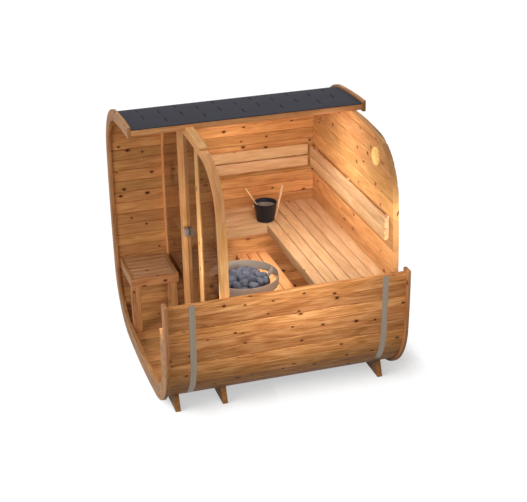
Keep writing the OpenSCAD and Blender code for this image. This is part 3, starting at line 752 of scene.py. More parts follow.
@dataclass
class Shell:
    """Staves of the walls, floor, corners and roof."""

    front: float = -1.002
    back: float = 1.002
    thickness: float = 0.050
    ease: float = 0.004
    groove: float = 0.0017
    groove_depth: float = 0.011
    end: float = 0.002
    facet: float = 0.025
    tone_step: float = 0.618
    tone_stray: float = 0.08
    counts: dict[str, int] = field(default_factory=lambda: {
        "near_wall": 5, "near_lower_corner": 7, "floor_staves": 11, "far_lower_corner": 7, "far_wall": 11,
        "far_upper_corner": 7, "roof_staves": 6})
    finishes: dict[str, Timber] = field(default_factory=lambda: {
        "near_wall": SHADED_NEAR_PINE, "near_lower_corner": SHADED_NEAR_PINE, "roof_staves": ROOF_PINE})

    def sector(self, arc: Arc, first: float, last: float, draw: float) -> Array:
        """Section of a stave: the sector between two angles, its four edges eased and rebated for a groove.

        It is drawn in all round by draw. The sides touch the next staves only between the grooves.

        Args:
            arc: arc of the wall.
            first: angle of one side.
            last: angle of the other side.
            draw: distance that the section is drawn in.
        Returns:
            Points in order round the section, as (points, 2).
        """
        way = math.copysign(1.0, last - first)
        over, under = draw, self.thickness - draw
        first, last = first + way * draw / arc.radius, last - way * draw / arc.radius
        steps = max(3, int(abs(last - first) / self.facet) + 1)
        step_out, step_in = way / (arc.radius - over), way / (arc.radius - under)
        ease, gap, deep = self.ease, self.groove, self.groove_depth
        side = np.array([gap * step_out, gap * step_out, 0.0, 0.0, gap * step_in, gap * step_in])
        fall = np.array([over + ease, over + deep, over + deep, under - deep, under - deep, under - ease])
        slip_out, slip_in = (gap + ease) * step_out, (gap + ease) * step_in
        angle = np.concatenate([np.linspace(first + slip_out, last - slip_out, steps), last - side,
                                np.linspace(last - slip_in, first + slip_in, steps), first + side[::-1]])
        inset = np.concatenate([np.full(steps, over), fall, np.full(steps, under), fall[::-1]])
        return arc.place(angle, inset)

    def build(self) -> None:
        """Builds each wall from its row of equal staves; golden steps of the tone keep neighbours apart."""
        number = 0.0
        for name, count in self.counts.items():
            arc = OUTLINE.arcs()[name]
            sides = np.linspace(arc.start, arc.stop, count + 1)
            skin = Skin()
            for first, last in zip(sides[:-1], sides[1:]):
                number = (number + self.tone_step + self.tone_stray * DRAW.random()) % 1.0
                whole, drawn = (self.sector(arc, first, last, draw) for draw in (0.0, self.end))
                skin.prism(whole, drawn, Run.Y, self.front, self.back, self.end, number)
            skin.piece(f"{name}_boards", self.finishes.get(name, STAVE_PINE), name)


@dataclass
class Trim:
    """Rings round both ends of the shell, the sill inside the front ring, steel hoops and cradle feet."""

    over: float = -0.0279
    under: float = 0.068
    thickness: float = 0.030
    front: float = -1.032
    back: float = 1.032
    overrun: float = 0.025
    ease: float = 0.004

    def ring(self, name: str, front: float) -> None:
        """Builds a ring of seven curved boards, its near end a little above the staves' cut."""
        skin = Skin()
        top = math.asin((OUTLINE.near_cut + self.overrun - OUTLINE.middle) / OUTLINE.side_radius)
        for arc_name in Shell().counts:
            arc = OUTLINE.arcs()[arc_name]
            arc = replace(arc, start=top) if arc_name == "near_wall" else arc
            skin.hoop(arc, self.over, self.under, front, front + self.thickness, self.ease)
        skin.piece(f"{name}_boards", TRIM_PINE, name)

    def build(self) -> None:
        """Builds both rings and dresses sill, hoops and feet."""
        self.ring("front_ring", self.front)
        self.ring("rear_ring", self.back - self.thickness)
        dress("front_sill", TRIM_PINE_X)
        for node in ("front_foot", "middle_foot", "rear_foot"):
            dress(node, SHADED_FOOT_PINE)
        for node in ("front_band", "rear_band"):
            dress(node, BAND_STEEL)


@dataclass
class Shingles:
    """Shingles over the far upper corner and the roof, up to the cut."""

    front: float = -1.002
    back: float = 1.002
    ridge_butt: float = 0.235
    second_butt: float = 0.375
    exposure: float = 0.1175
    tab: float = 0.335
    slot_width: float = 0.014
    slot_length: float = 0.110
    first_slot: float = -0.672
    lift: float = 0.0078
    head_lift: float = 0.0042
    # The heads reach only this far under the next course, so that most of each slot shows the near-black felt
    # as painted shade.
    head_lap: float = 0.004
    sheet: float = 0.0032
    felt_lift: float = 0.003
    felt_sheet: float = 0.0028
    cap_joints: Pair = (-0.34, 0.66)
    cap_lifts: Pair = (0.0058, 0.0066)
    cap_lap: float = 0.004
    tab_span: tuple[int, int] = (-3, 8)
    least_tab: float = 0.02
    pitch: float = 0.03

    @property
    def bend(self) -> float:
        """Length of the far upper corner's outer face."""
        arc = OUTLINE.arcs()["far_upper_corner"]
        return abs(arc.stop - arc.start) * arc.radius

    @property
    def length(self) -> float:
        """Length of the shingled slope from the far wall to the cut."""
        arc = OUTLINE.arcs()["roof_staves"]
        return self.bend + abs(arc.stop - arc.start) * arc.radius

    def slope(self, down: Array, lift: Array) -> Array:
        """Points (x, z) at a distance down from the cut, lifted off the staves: roof arc, then corner arc."""
        roof, bend = OUTLINE.arcs()["roof_staves"], OUTLINE.arcs()["far_upper_corner"]
        flat = self.length - self.bend
        on_roof = roof.place(roof.stop + down / roof.radius, -lift)
        on_bend = bend.place(bend.stop + (down - flat) / bend.radius, -lift)
        return np.where((down <= flat)[..., None], on_roof, on_bend)

    def strip(self, skin: Skin, left: float, right: float, low: float, high: float, lifts: Pair, sheet: float,
              number: float | None = None) -> None:
        """Adds one strip: a flat section along the shell carried down the slope, its lift changing evenly.

        Args:
            skin: mesh that takes the strip.
            left: its edge towards the porch.
            right: its edge towards the back wall.
            low: distance of its butt from the cut.
            high: distance of its head from the cut.
            lifts: lift of its top face at the head and at the butt.
            sheet: its thickness.
            number: its tone number.
        """
        count = max(4, int((low - high) / self.pitch) + 2)
        share = np.linspace(0, 1, count)
        down = high + (low - high) * share
        top = lifts[0] + (lifts[1] - lifts[0]) * share
        lift = np.stack([top - sheet, top - sheet, top, top], -1)
        spots = self.slope(np.broadcast_to(down[:, None], lift.shape), lift)
        edges = np.array([left, right, right, left, left])
        y = np.broadcast_to(edges[:-1], lift.shape)
        skin.loft(np.stack([spots[..., 0], y, spots[..., 1]], -1), down, edges, number)

    def butts(self) -> Array:
        """Distances of the course butts from the cut, the last one at the lower edge."""
        rest = np.arange(self.second_butt, self.length - 0.5 * self.exposure, self.exposure)
        return np.concatenate([[self.ridge_butt], rest, [self.length]])

    def build(self) -> None:
        """Builds the under sheet, the ridge strips and the tabs of each course, staggered by half a tab."""
        skin = Skin()
        lifts = (self.felt_lift, self.felt_lift)
        self.strip(skin, self.front, self.back, self.length, 0.0, lifts, self.felt_sheet, 0.0)
        skin.piece("shingle_felt", SLOT_SHADE_FELT)
        skin = Skin()
        cap = self.ridge_butt - self.slot_length
        ends = [self.front, *self.cap_joints, self.back]
        for left, right in zip(ends[:-1], ends[1:]):
            self.strip(skin, left, right, cap + self.cap_lap, 0.0, self.cap_lifts, self.sheet)
        butts = self.butts()
        for row, low in enumerate(butts):
            high = cap if row == 0 else butts[row - 1] - self.head_lap
            head = self.cap_lifts[1] if row == 0 else self.head_lift
            start = self.first_slot - (row % 2) * self.tab / 2
            edges = start + self.tab * np.arange(*self.tab_span)
            for left, right in zip(edges[:-1], edges[1:]):
                left = max(left + self.slot_width / 2, self.front)
                right = min(right - self.slot_width / 2, self.back)
                if right - left > self.least_tab:
                    self.strip(skin, left, right, low, high, (head, self.lift), self.sheet)
        skin.piece("shingle_courses", SHINGLE, "roof_shingles")


@dataclass
class Front:
    """Arched front wall: curved frame, door posts, tinted glass, the door's pull and its hinges."""

    front: float = -0.552
    back: float = -0.482
    over: float = 0.050
    under: float = 0.105
    lath: float = 0.025
    lath_reach: float = 0.497
    lath_bite: float = 0.004
    lath_play: float = 0.0001
    post_far: Pair = (-0.314, -0.220)
    post_near: Pair = (0.300, 0.394)
    post_rings: int = 8
    glass_front: float = -0.519
    glass_back: float = -0.511
    pull_x: Pair = (-0.190, -0.134)
    pull_z: Pair = (1.130, 1.200)
    pull_depth: float = 0.040
    pull_ease: float = 0.007
    ease: float = 0.004

    def arch(self) -> None:
        """Builds the closed frame of curved boards and the lath on its roof board."""
        skin = Skin()
        arcs = OUTLINE.arcs()
        near = replace(arcs["near_wall"], start=arcs["near_upper_corner"].stop + TAU)
        roof = replace(arcs["roof_staves"], stop=arcs["near_roof"].stop)
        lower = ("near_lower_corner", "floor_staves", "far_lower_corner", "far_wall", "far_upper_corner")
        for arc in (near, *(arcs[name] for name in lower), roof, arcs["near_upper_corner"]):
            skin.hoop(arc, self.over, self.under, self.front, self.back, self.ease)
        cut = math.acos((OUTLINE.roof_cut + self.lath_play) / OUTLINE.top_radius)
        end = math.acos(self.lath_reach / OUTLINE.top_radius)
        lath = replace(roof, start=cut, stop=end)
        skin.hoop(lath, self.lath, self.over + self.lath_bite, self.front, self.back, self.ease)
        skin.piece("front_arch_boards", FRAME_PINE, "front_arch")

    def post(self, name: str, sides: Pair) -> None:
        """Builds a door post: a rounded section whose ends follow the frame's floor and roof arcs."""
        profile = rounded_rectangle(sides[1] - sides[0], self.back - self.front, self.ease)
        profile = profile + [sum(sides) / 2, (self.front + self.back) / 2]
        rise = OUTLINE.rise(profile[:, 0], self.under)
        share = np.linspace(-1, 1, self.post_rings)
        z = OUTLINE.middle + share[:, None] * rise
        x, y = (np.broadcast_to(row, z.shape) for row in profile.T)
        rings = np.stack([x, y, z], -1)
        skin = Skin()
        skin.loft(rings, OUTLINE.middle + share * rise.mean(), girth(profile))
        skin.piece(f"{name}_timber", FRAME_PINE, name)

    def pull(self) -> None:
        """Builds the pull: a rounded block on each side of the glass."""
        skin = Skin()
        (x0, x1), (z0, z1) = self.pull_x, self.pull_z
        for near in (self.glass_front - self.pull_depth, self.glass_back):
            skin.board((x0, near, z0), (x1, near + self.pull_depth, z1), Run.Z, self.pull_ease)
        skin.piece("door_pull", PULL_STEEL, "door_handle", body="door")

    def build(self) -> None:
        """Builds frame, posts and pull and dresses glass and hinges."""
        self.arch()
        self.post("far_post", self.post_far)
        self.post("near_post", self.post_near)
        self.pull()
        for node in ("far_pane", "near_pane", "door_glass"):
            dress(node, BRONZE_GLASS)
        for node in ("door_clamps", "post_hinges"):
            dress(node, HINGE_BRASS)


@dataclass
class BackWall:
    """Level boards of the back wall, cut to the outline, and the vent's round cover."""

    front: float = 0.903
    back: float = 0.953
    inset: float = 0.050
    pitch: float = 0.1395
    joint: float = 1.2385
    ease: float = 0.0060
    trim: float = 0.005
    play: float = 0.0002
    least: float = 0.02
    least_half: float = 0.001
    rows: int = 12
    steps: int = 8
    stations: int = 6
    vent: Triple = (0.614, 0.903, 1.940)
    vent_radius: float = 0.078
    vent_thickness: float = 0.018
    vent_bend: float = 0.006
    vent_foot: float = 0.001
    vent_steps: int = 5
    vent_sides: int = 48
    dish: Triple = (0.052, 0.046, 0.012)
    dish_depth: float = 0.003

    def joints(self) -> Array:
        """Heights of the board joints between the outline's lowest and highest points."""
        reach = OUTLINE.half_height - self.inset
        low, high = OUTLINE.middle - reach + self.play, OUTLINE.middle + reach - self.play
        rows = self.joint + self.pitch * np.arange(-self.rows, self.rows)
        return np.concatenate([[low], rows[(rows > low + self.least) & (rows < high - self.least)], [high]])

    def boards(self) -> None:
        """Builds the boards: each profile point runs across to the outline's half width at its own height."""
        skin = Skin()
        joints = self.joints()
        for low, high in zip(joints[:-1], joints[1:]):
            rows = np.linspace(low + self.ease, high - self.ease, self.steps)
            front, back = np.full(self.steps, self.front), np.full(self.steps, self.back)
            sides = [self.front + self.ease, self.back - self.ease]
            y = np.concatenate([front, sides, back, sides[::-1]])
            z = np.concatenate([rows, [high, high], rows[::-1], [low, low]])
            reach = np.maximum(OUTLINE.half(z, self.inset) - self.trim * DRAW.random(), self.least_half)
            share = np.linspace(-1, 1, self.stations)
            x = share[:, None] * reach
            rings = np.stack([x, np.broadcast_to(y, x.shape), np.broadcast_to(z, x.shape)], -1)
            skin.loft(rings, share, girth(np.stack([y, z], -1)))
        skin.piece("back_wall_boards", LIT_BACK_PINE, "back_wall")

    def cover(self) -> None:
        """Turns the vent cover: a disc with a rounded rim and a shallow dished face."""
        turn = np.linspace(0, PI / 2, self.vent_steps)
        bend, top = self.vent_bend, self.vent_thickness
        rim = np.stack([self.vent_radius - bend + bend * np.cos(turn), top - bend + bend * np.sin(turn)], -1)
        edge, foot, middle = self.dish
        face = [(edge, top), (foot, top - self.dish_depth), (middle, top - self.dish_depth)]
        profile = np.concatenate([[(self.vent_radius - self.vent_foot, 0.0)], rim, face])
        skin = Skin()
        place = Matrix.Translation(self.vent) @ Matrix.Rotation(PI / 2, 4, "X")
        skin.lathe(profile, self.vent_sides, 0.5, place)
        skin.piece("vent_disc", WAXED_BIRCH, "vent_cover")

    def build(self) -> None:
        """Builds boards and vent cover."""
        self.boards()
        self.cover()


@dataclass
class Benches:
    """The L of benches along the far wall and the back wall, with nosed front slats over bearers."""

    top: float = 0.979
    slat: float = 0.028
    gap: float = 0.008
    drop: float = 0.086
    apron: float = 0.025
    nose: float = 0.009
    nose_steps: int = 6
    bend_share: float = 0.3
    ease: float = 0.004
    wall: float = -0.988
    far_front: float = -0.495
    far_from: float = -0.482
    back_front: float = 0.293
    back_wall: float = 0.903
    half: float = 0.988
    bearer: float = 0.045
    far_slats: int = 5
    back_slats: int = 6
    back_bearers: int = 4
    bearer_spots: Pair = (-0.392, -0.0495)
    wall_play: float = 0.003
    end_play: float = 0.0005

    def nosing(self, depth: float) -> Array:
        """Section of the front slat and its apron in one: distance from the front edge, height over the top.

        The front edge is a quarter circle of the nose radius; the other corners are eased or square.
        """
        turn = np.linspace(PI, PI / 2, self.nose_steps)
        front = np.stack([self.nose + self.nose * np.cos(turn), -self.nose + self.nose * np.sin(turn)], -1)
        ease, bend = self.ease, self.bend_share * self.ease
        rest = [(depth - ease, 0), (depth - bend, -bend), (depth, -ease), (depth, -self.slat),
                (self.apron, -self.slat), (self.apron, -self.drop),
                (ease, -self.drop), (0, -self.drop + ease)]
        return np.concatenate([front, rest])

    def far_bench(self) -> None:
        """Builds five slats along the far wall and the bearers under them."""
        skin = Skin()
        under, low, high = self.top - self.slat, self.far_from, self.back_front - self.gap
        skin.slats((self.wall, low, under), (self.far_front, high, self.top), Run.Y, self.far_slats, self.gap,
                   self.ease, slice(-1))
        width = slat_width(self.far_front - self.wall, self.far_slats, self.gap)
        profile = self.nosing(width) * [-1, 1] + [self.far_front, self.top]
        skin.extrude(profile, Run.Y, low, self.back_front - self.end_play)
        skin.piece("far_bench_top", BENCH_ASPEN, "far_bench_slats")
        skin = Skin()
        for y in self.bearer_spots:
            skin.board((self.wall + self.wall_play, y, self.top - self.drop),
                       (self.far_front - self.apron, y + self.bearer, under), Run.X)
        skin.piece("far_bench_bearers", BENCH_ASPEN, "far_bench_frame")

    def back_bench(self) -> None:
        """Builds six slats along the back wall and the bearers under them."""
        skin = Skin()
        width = slat_width(self.back_wall - self.back_front, self.back_slats, self.gap)
        profile = self.nosing(width) + [self.back_front, self.top]
        skin.extrude(profile, Run.X, -self.half, self.half)
        under = self.top - self.slat
        skin.slats((-self.half, self.back_front, under), (self.half, self.back_wall, self.top), Run.X,
                   self.back_slats, self.gap, self.ease, slice(1, None))
        skin.piece("back_bench_top", BENCH_ASPEN, "back_bench_slats")
        skin = Skin()
        for x in np.linspace(-self.half + self.bearer, self.half - 2 * self.bearer, self.back_bearers):
            skin.board((x, self.back_front + self.apron, self.top - self.drop),
                       (x + self.bearer, self.back_wall, under), Run.Y)
        skin.piece("back_bench_bearers", BENCH_ASPEN, "back_bench_frame")

    def build(self) -> None:
        """Builds both benches."""
        self.far_bench()
        self.back_bench()


@dataclass
class Step:
    """Low step in front of the back bench, on two trestles."""

    half: float = 0.9578
    front: float = 0.117
    width: float = 0.298
    top: float = 0.510
    slat: float = 0.028
    gap: float = 0.008
    slats: int = 3
    apron: Pair = (0.020, 0.024)
    rail: float = 0.052
    leg: float = 0.045
    trestles: Pair = (-0.430, 0.385)
    floor: float = 0.101
    ease: float = 0.004

    def build(self) -> None:
        """Builds three slats, then apron, rails and legs."""
        skin = Skin()
        under = self.top - self.slat
        back = self.front + self.width
        skin.slats((-self.half, self.front, under), (self.half, back, self.top), Run.X, self.slats, self.gap,
                   self.ease)
        skin.piece("step_boards", SHADED_STEP_ASPEN, "step_slats")
        skin = Skin()
        inner = self.front + self.apron[0]
        skin.board((-self.half, self.front, under - self.apron[1]), (self.half, inner, under), Run.X)
        for x in self.trestles:
            skin.board((x, inner, under - self.rail), (x + self.leg, back, under), Run.Y)
            for y in (inner, back - self.leg):
                skin.board((x, y, self.floor), (x + self.leg, y + self.leg, under - self.rail), Run.Z)
        skin.piece("step_trestles", SHADED_STEP_ASPEN, "step_frame")


@dataclass
class Backrest:
    """Two level boards on three upright battens against a wall."""

    name: str
    run: Run
    span: Pair
    face: float
    wall: float
    board: float
    gap: float
    thickness: float
    batten_ends: Pair
    low: float = 1.326
    batten: float = 0.044
    ease: float = 0.006

    def corner(self, along: float, out: float, z: float) -> Triple:
        """Point at a distance along the run, a distance across it and a height."""
        return (along, out, z) if self.run is Run.X else (out, along, z)

    def build(self) -> None:
        """Builds the boards and, between them and the wall, the battens."""
        skin = Skin()
        start, stop = self.span
        back = self.face + math.copysign(self.thickness, self.wall - self.face)
        high = self.low + 2 * self.board + self.gap
        first, last = sorted((self.face, back))
        for z in (self.low, self.low + self.board + self.gap):
            ends = self.corner(start, first, z), self.corner(stop, last, z + self.board)
            skin.board(*ends, self.run, self.ease)
        first, last = sorted((back, self.wall))
        lead, tail = self.batten_ends
        for along in (start + lead, (start + stop - self.batten) / 2, stop - tail - self.batten):
            ends = self.corner(along, first, self.low), self.corner(along + self.batten, last, high)
            skin.board(*ends, Run.Z)
        skin.piece(f"{self.name}_boards", BENCH_ASPEN, self.name)


FAR_BACKREST = Backrest("far_backrest", Run.Y, span=(-0.442, 0.841), face=-0.950, wall=-0.9868,
                        board=0.102, gap=0.010, thickness=0.020, batten_ends=(0.060, 0.060))
BACK_BACKREST = Backrest("back_backrest", Run.X, span=(-0.945, 0.930), face=0.853, wall=0.903,
                         board=0.093, gap=0.009, thickness=0.030, batten_ends=(0.060, 0.030))


@dataclass
class Stove:
    """Round steel stove heaped with stones, inside its guard band."""

    x: float = 0.285
    y: float = -0.160
    bowl: float = 0.748
    rim: float = 0.838
    heap: float = 0.105
    heap_radius: float = 0.210
    heap_play: float = 0.004
    dome_drop: float = 0.055
    dome_hole: float = 0.2
    dome_steps: int = 6
    dome_sides: int = 36
    stones: int = 27
    size: Pair = (0.041, 0.051)
    margin: float = 0.030
    stray: float = 0.15
    sink: float = 0.92
    # Each stone: blunt planes about a middle, more of them and a higher power give a more angular block.
    planes: int = 16
    plane_reach: Pair = (0.86, 1.08)
    power: int = 6
    most: float = 1.2
    stretch_low: Triple = (1.0, 0.85, 0.75)
    stretch_high: Triple = (1.22, 1.05, 0.95)
    pole: float = 0.06
    rings: int = 13
    sides: int = 22
    sharp: float = 50.0

    def ball(self) -> float:
        """Radius of the sphere that the heap's top lies on."""
        return (self.heap_radius ** 2 + self.heap ** 2) / (2 * self.heap)

    def stone(self, size: float) -> Array:
        """Rounded block: in each direction, the reach at which a powered sum over random planes is one.

        Args:
            size: half the stone's width.
        Returns:
            Rings of points from pole to pole, as (rings, points, 3).
        """
        lat = np.linspace(self.pole, PI - self.pole, self.rings)[:, None]
        lon = np.linspace(0, TAU, self.sides, endpoint=False)[None, :]
        way = np.stack([np.sin(lat) * np.cos(lon), np.sin(lat) * np.sin(lon), np.cos(lat) + 0 * lon], -1)
        planes = DRAW.normal(size=(self.planes, 3))
        planes /= np.linalg.norm(planes, axis=1, keepdims=True)
        far = DRAW.uniform(*self.plane_reach, self.planes)
        reach = np.sum((np.maximum(way @ planes.T, 0) / far) ** self.power, -1) ** (-1 / self.power)
        stretched = DRAW.uniform(self.stretch_low, self.stretch_high)
        return size * way * np.minimum(reach, self.most)[..., None] * stretched

    def build(self) -> None:
        """Heaps the stones along a sunflower spiral on a low dome and dresses body and guard."""
        skin = Skin()
        ball = self.ball()
        centre = self.rim + self.heap - ball
        wide = self.heap_radius - self.heap_play
        base = np.linspace(self.dome_hole, 1.0, self.dome_steps)[::-1] * wide
        dome = centre + np.sqrt(ball ** 2 - base ** 2) - self.dome_drop
        profile = np.concatenate([[(wide, self.bowl)], np.stack([base, dome], -1)])
        skin.lathe(profile, self.dome_sides, 0.0, Matrix.Translation((self.x, self.y, 0)))
        for i in range(self.stones):
            size = float(DRAW.uniform(*self.size))
            out = (self.heap_radius - self.margin) * math.sqrt((i + 0.5) / self.stones)
            turn = i * GOLDEN_TURN + float(DRAW.uniform(-self.stray, self.stray))
            lift = centre + math.sqrt(ball ** 2 - out ** 2) - self.sink * size
            spin = Matrix.Rotation(float(DRAW.uniform(0, TAU)), 4, "Z")
            spot = Matrix.Translation((self.x + out * math.cos(turn), self.y + out * math.sin(turn), lift))
            rings = self.stone(size)
            along, around = np.linspace(0, size, self.rings), np.linspace(0, size, self.sides + 1)
            skin.loft(rings, along, around, None, spot @ spin)
        skin.piece("heap_of_stones", STONE, "stove_stones", sharp=self.sharp)
        dress("stove_body", STOVE_STEEL)
        dress("stove_guard", GUARD_STEEL)


@dataclass
class Bucket:
    """Water bucket on the back bench, with its upright grip and the ladle leaning in it."""

    spot: Triple = (-0.614, 0.311, 0.979)
    foot: float = 0.080
    rim: float = 0.106
    height: float = 0.178
    wall: float = 0.006
    floor: float = 0.010
    foot_ease: float = 0.003
    lip_slope: float = 0.014
    lip_edge: float = 0.010
    lip_bend: float = 0.002
    inner_bend: Pair = (0.001, 0.003)
    floor_bend: float = 0.004
    water: float = 0.140
    water_play: float = 0.0005
    water_edge: Pair = (0.001, 0.003)
    water_sag: Pair = (0.004, 0.0015)
    sides: int = 48
    tone: float = 0.5
    grip: Triple = (0.017, 0.027, 0.330)
    grip_ease: float = 0.0066
    grip_play: float = 0.0001
    grip_turn: float = 85.0
    grip_splay: float = 5.0
    grip_tone: float = 0.4
    stick: float = 0.007
    stick_length: float = 0.330
    stick_shares: Triple = (0.7, 0.85, 0.6)
    stick_ends: Triple = (0.003, 0.02, 0.004)
    stick_sides: int = 16
    stick_tone: float = 0.6
    stick_spot: Triple = (0.010, -0.010, -0.010)
    lean: float = 30.27
    side_lean: float = -5.0
    cup: Pair = (0.034, 0.040)
    cup_ease: Pair = (0.004, 0.005)
    cup_sides: int = 28
    cup_tone: float = 0.3

    def radius(self, height: float) -> float:
        """Outer radius at a height: it widens evenly from foot to rim."""
        return self.foot + (self.rim - self.foot) * height / self.height

    def tub(self, here: Matrix) -> None:
        """Turns the bucket, with a lip round its rim, and the water in it."""
        skin = Skin()
        top, floor, rim, foot = self.height, self.floor, self.rim, self.foot
        inside, bottom = rim - self.wall, self.radius(floor) - self.wall
        slope, edge, bend, ease = self.lip_slope, self.lip_edge, self.lip_bend, self.foot_ease
        profile = np.array([
            (foot - ease, 0.0), (foot, ease), (self.radius(top - slope), top - slope), (rim, top - edge),
            (rim, top - bend), (rim - bend, top), (inside, top),
            (inside - self.inner_bend[0], top - self.inner_bend[1]),
            (bottom, floor + self.floor_bend), (bottom - self.floor_bend, floor)])
        skin.lathe(profile, self.sides, self.tone, here)
        skin.piece("bucket_tub", BUCKET_BLACK, "bucket")
        skin = Skin()
        brink, level = self.radius(self.water) - self.wall - self.water_play, self.water
        profile = np.array([(brink - self.water_edge[0], level - self.water_edge[1]), (brink, level),
                            (brink - self.water_sag[0], level - self.water_sag[1])])
        skin.lathe(profile, self.sides, self.tone, here)
        skin.piece("bucket_water", WATER)

    def upright(self, here: Matrix) -> None:
        """Stands the grip against the bucket's side, splayed a little past its taper."""
        skin = Skin()
        taper = math.atan((self.rim - self.foot) / self.height)
        turn = (here @ Matrix.Rotation(math.radians(self.grip_turn), 4, "Z")
                @ Matrix.Translation((self.radius(self.floor) + self.grip_play, 0, self.floor))
                @ Matrix.Rotation(taper + math.radians(self.grip_splay), 4, "Y")
                @ Matrix.Translation((0, -self.grip[1] / 2, 0)))
        skin.board((0, 0, 0), self.grip, Run.Z, self.grip_ease, self.grip_tone, turn)
        skin.piece("bucket_grip", BIRCH, "bucket_handle")

    def ladle(self, here: Matrix) -> None:
        """Turns the ladle's cup on the bucket's floor and its stick, leaning on the rim."""
        skin = Skin()
        (wide, tall), (draw, rise), floor = self.cup, self.cup_ease, self.floor
        brim = floor + tall
        profile = np.array([(wide - draw, floor), (wide, floor + rise), (wide, brim), (wide - draw, brim)])
        skin.lathe(profile, self.cup_sides, self.cup_tone, here)
        x, y, z = self.stick_spot
        turn = (here @ Matrix.Translation((x, y, brim + z))
                @ Matrix.Rotation(math.radians(self.side_lean), 4, "Y")
                @ Matrix.Rotation(math.radians(self.lean), 4, "X"))
        thick, length = self.stick, self.stick_length
        foot, waist, tip = (share * thick for share in self.stick_shares)
        low, high, end = self.stick_ends
        profile = np.array([(foot, 0), (thick, low), (waist, 0.5 * length), (thick, length - high),
                            (thick, length - end), (tip, length)])
        skin.lathe(profile, self.stick_sides, self.stick_tone, turn)
        skin.piece("bucket_ladle", BIRCH, "ladle")

    def build(self) -> None:
        """Turns bucket and water, then makes grip and ladle."""
        here = Matrix.Translation(self.spot)
        self.tub(here)
        self.upright(here)
        self.ladle(here)


@dataclass
class PorchSeat:
    """Seat on the porch against the far wall: boards flush inside an apron, on two near legs."""

    top: float = 0.640
    board: float = 0.028
    gap: float = 0.008
    far: float = -0.968
    boards_near: float = -0.499
    boards: int = 6
    boards_run: Pair = (-0.961, -0.591)
    near: float = -0.466
    front: float = -0.994
    back: float = -0.558
    apron: float = 0.030
    drop: float = 0.084
    bearer: float = 0.040
    wall: float = -0.980
    leg: Pair = (0.062, 0.078)
    leg_inset: float = 0.020
    floor: float = 0.1065
    ease: float = 0.004

    def build(self) -> None:
        """Builds the boards, then aprons, bearers and legs."""
        skin = Skin()
        start, stop = self.boards_run
        skin.slats((self.far, start, self.top - self.board), (self.boards_near, stop, self.top), Run.Y,
                   self.boards, self.gap, self.ease)
        skin.piece("porch_seat_boards", SEAT_PINE, "porch_seat")
        skin = Skin()
        low = self.top - self.drop
        inner = self.near - self.apron
        skin.board((inner, self.front, low), (self.near, self.back, self.top), Run.Y, self.ease)
        for y in (self.front, self.back - self.apron):
            skin.board((self.wall, y, low), (inner, y + self.apron, self.top), Run.X, self.ease)
        for y in (self.front + self.apron, self.back - self.apron - self.bearer):
            skin.board((self.wall, y, low), (inner, y + self.bearer, self.top - self.board), Run.X)
        wide, deep = self.leg
        for y in (self.front, self.back - self.leg_inset - deep):
            skin.board((self.near - wide, y, self.floor), (self.near, y + deep, low), Run.Z, self.ease)
        skin.piece("porch_seat_timbers", TRIM_PINE, "porch_seat_frame")


@dataclass(frozen=True)
class Lamp:
    """Soft rectangular lamp: its place, the point that it faces, two sides, power, colour and beam angle."""

    name: str
    spot: Triple
    aim: Triple
    size: Pair
    watts: float
    colour: str = "#fff6ee"
    spread: float = 180.0

    def hang(self) -> None:
        """Hangs the lamp where the camera, mirrors and glass don't see it."""
        lamp = bpy.data.lights.new(self.name, "AREA")
        lamp.shape = "RECTANGLE"
        lamp.size, lamp.size_y = self.size
        lamp.energy = self.watts
        lamp.spread = math.radians(self.spread)
        lamp.color = linear(self.colour)[:3]
        hung = bpy.data.objects.new(self.name, lamp)
        hung.location = self.spot
        hung.visible_camera = hung.visible_glossy = hung.visible_transmission = False
        hung.rotation_euler = (Vector(self.aim) - Vector(self.spot)).to_track_quat("-Z", "Y").to_euler()
        bpy.context.scene.collection.objects.link(hung)


# Large lamps light the whole; the small ones stand for light that the room gathers in its corners.
LAMPS = (
    Lamp("overhead", (0.0, 0.1, 6.5), (0.0, 0.1, 0.0), (1.3, 1.3), 75.0, "#ffffff"),
    Lamp("front", (2.35, 0.08, 1.60), (1.0, 0.08, 0.75), (0.6, 0.6), 10.2, spread=110.0),
    Lamp("left", (2.0, -4.9, 2.6), (0.0, -0.6, 1.0), (2.0, 2.0), 102.0),
    Lamp("porch", (0.88, -0.88, 1.22), (-0.3, -0.62, 0.6), (0.4, 0.4), 6.3),
    Lamp("room", (0.10, 0.20, 1.95), (0.0, 0.80, 1.0), (0.5, 0.5), 8.8),
    Lamp("stove", (0.30, -0.10, 1.55), (0.285, -0.16, 0.9), (0.3, 0.3), 1.3, "#ffffff"),
    Lamp("behind", (-3.2, 3.4, 2.6), (-0.4, 0.5, 1.0), (2.0, 2.0), 60.0),
    Lamp("pit", (-0.48, 0.28, 0.84), (-0.48, 0.28, 0.0), (0.8, 0.25), 3.3),
    Lamp("far_glow", (-0.55, 0.02, 1.92), (-1.0, 0.02, 1.70), (0.25, 0.25), 1.7),
    Lamp("edge", (2.5, 0.45, 1.75), (0.95, 0.98, 1.50), (0.3, 0.3), 1.6, spread=32.0),
    Lamp("back_glow", (-0.05, 0.52, 1.88), (-0.05, 0.90, 1.62), (0.25, 0.25), 1.1),
)


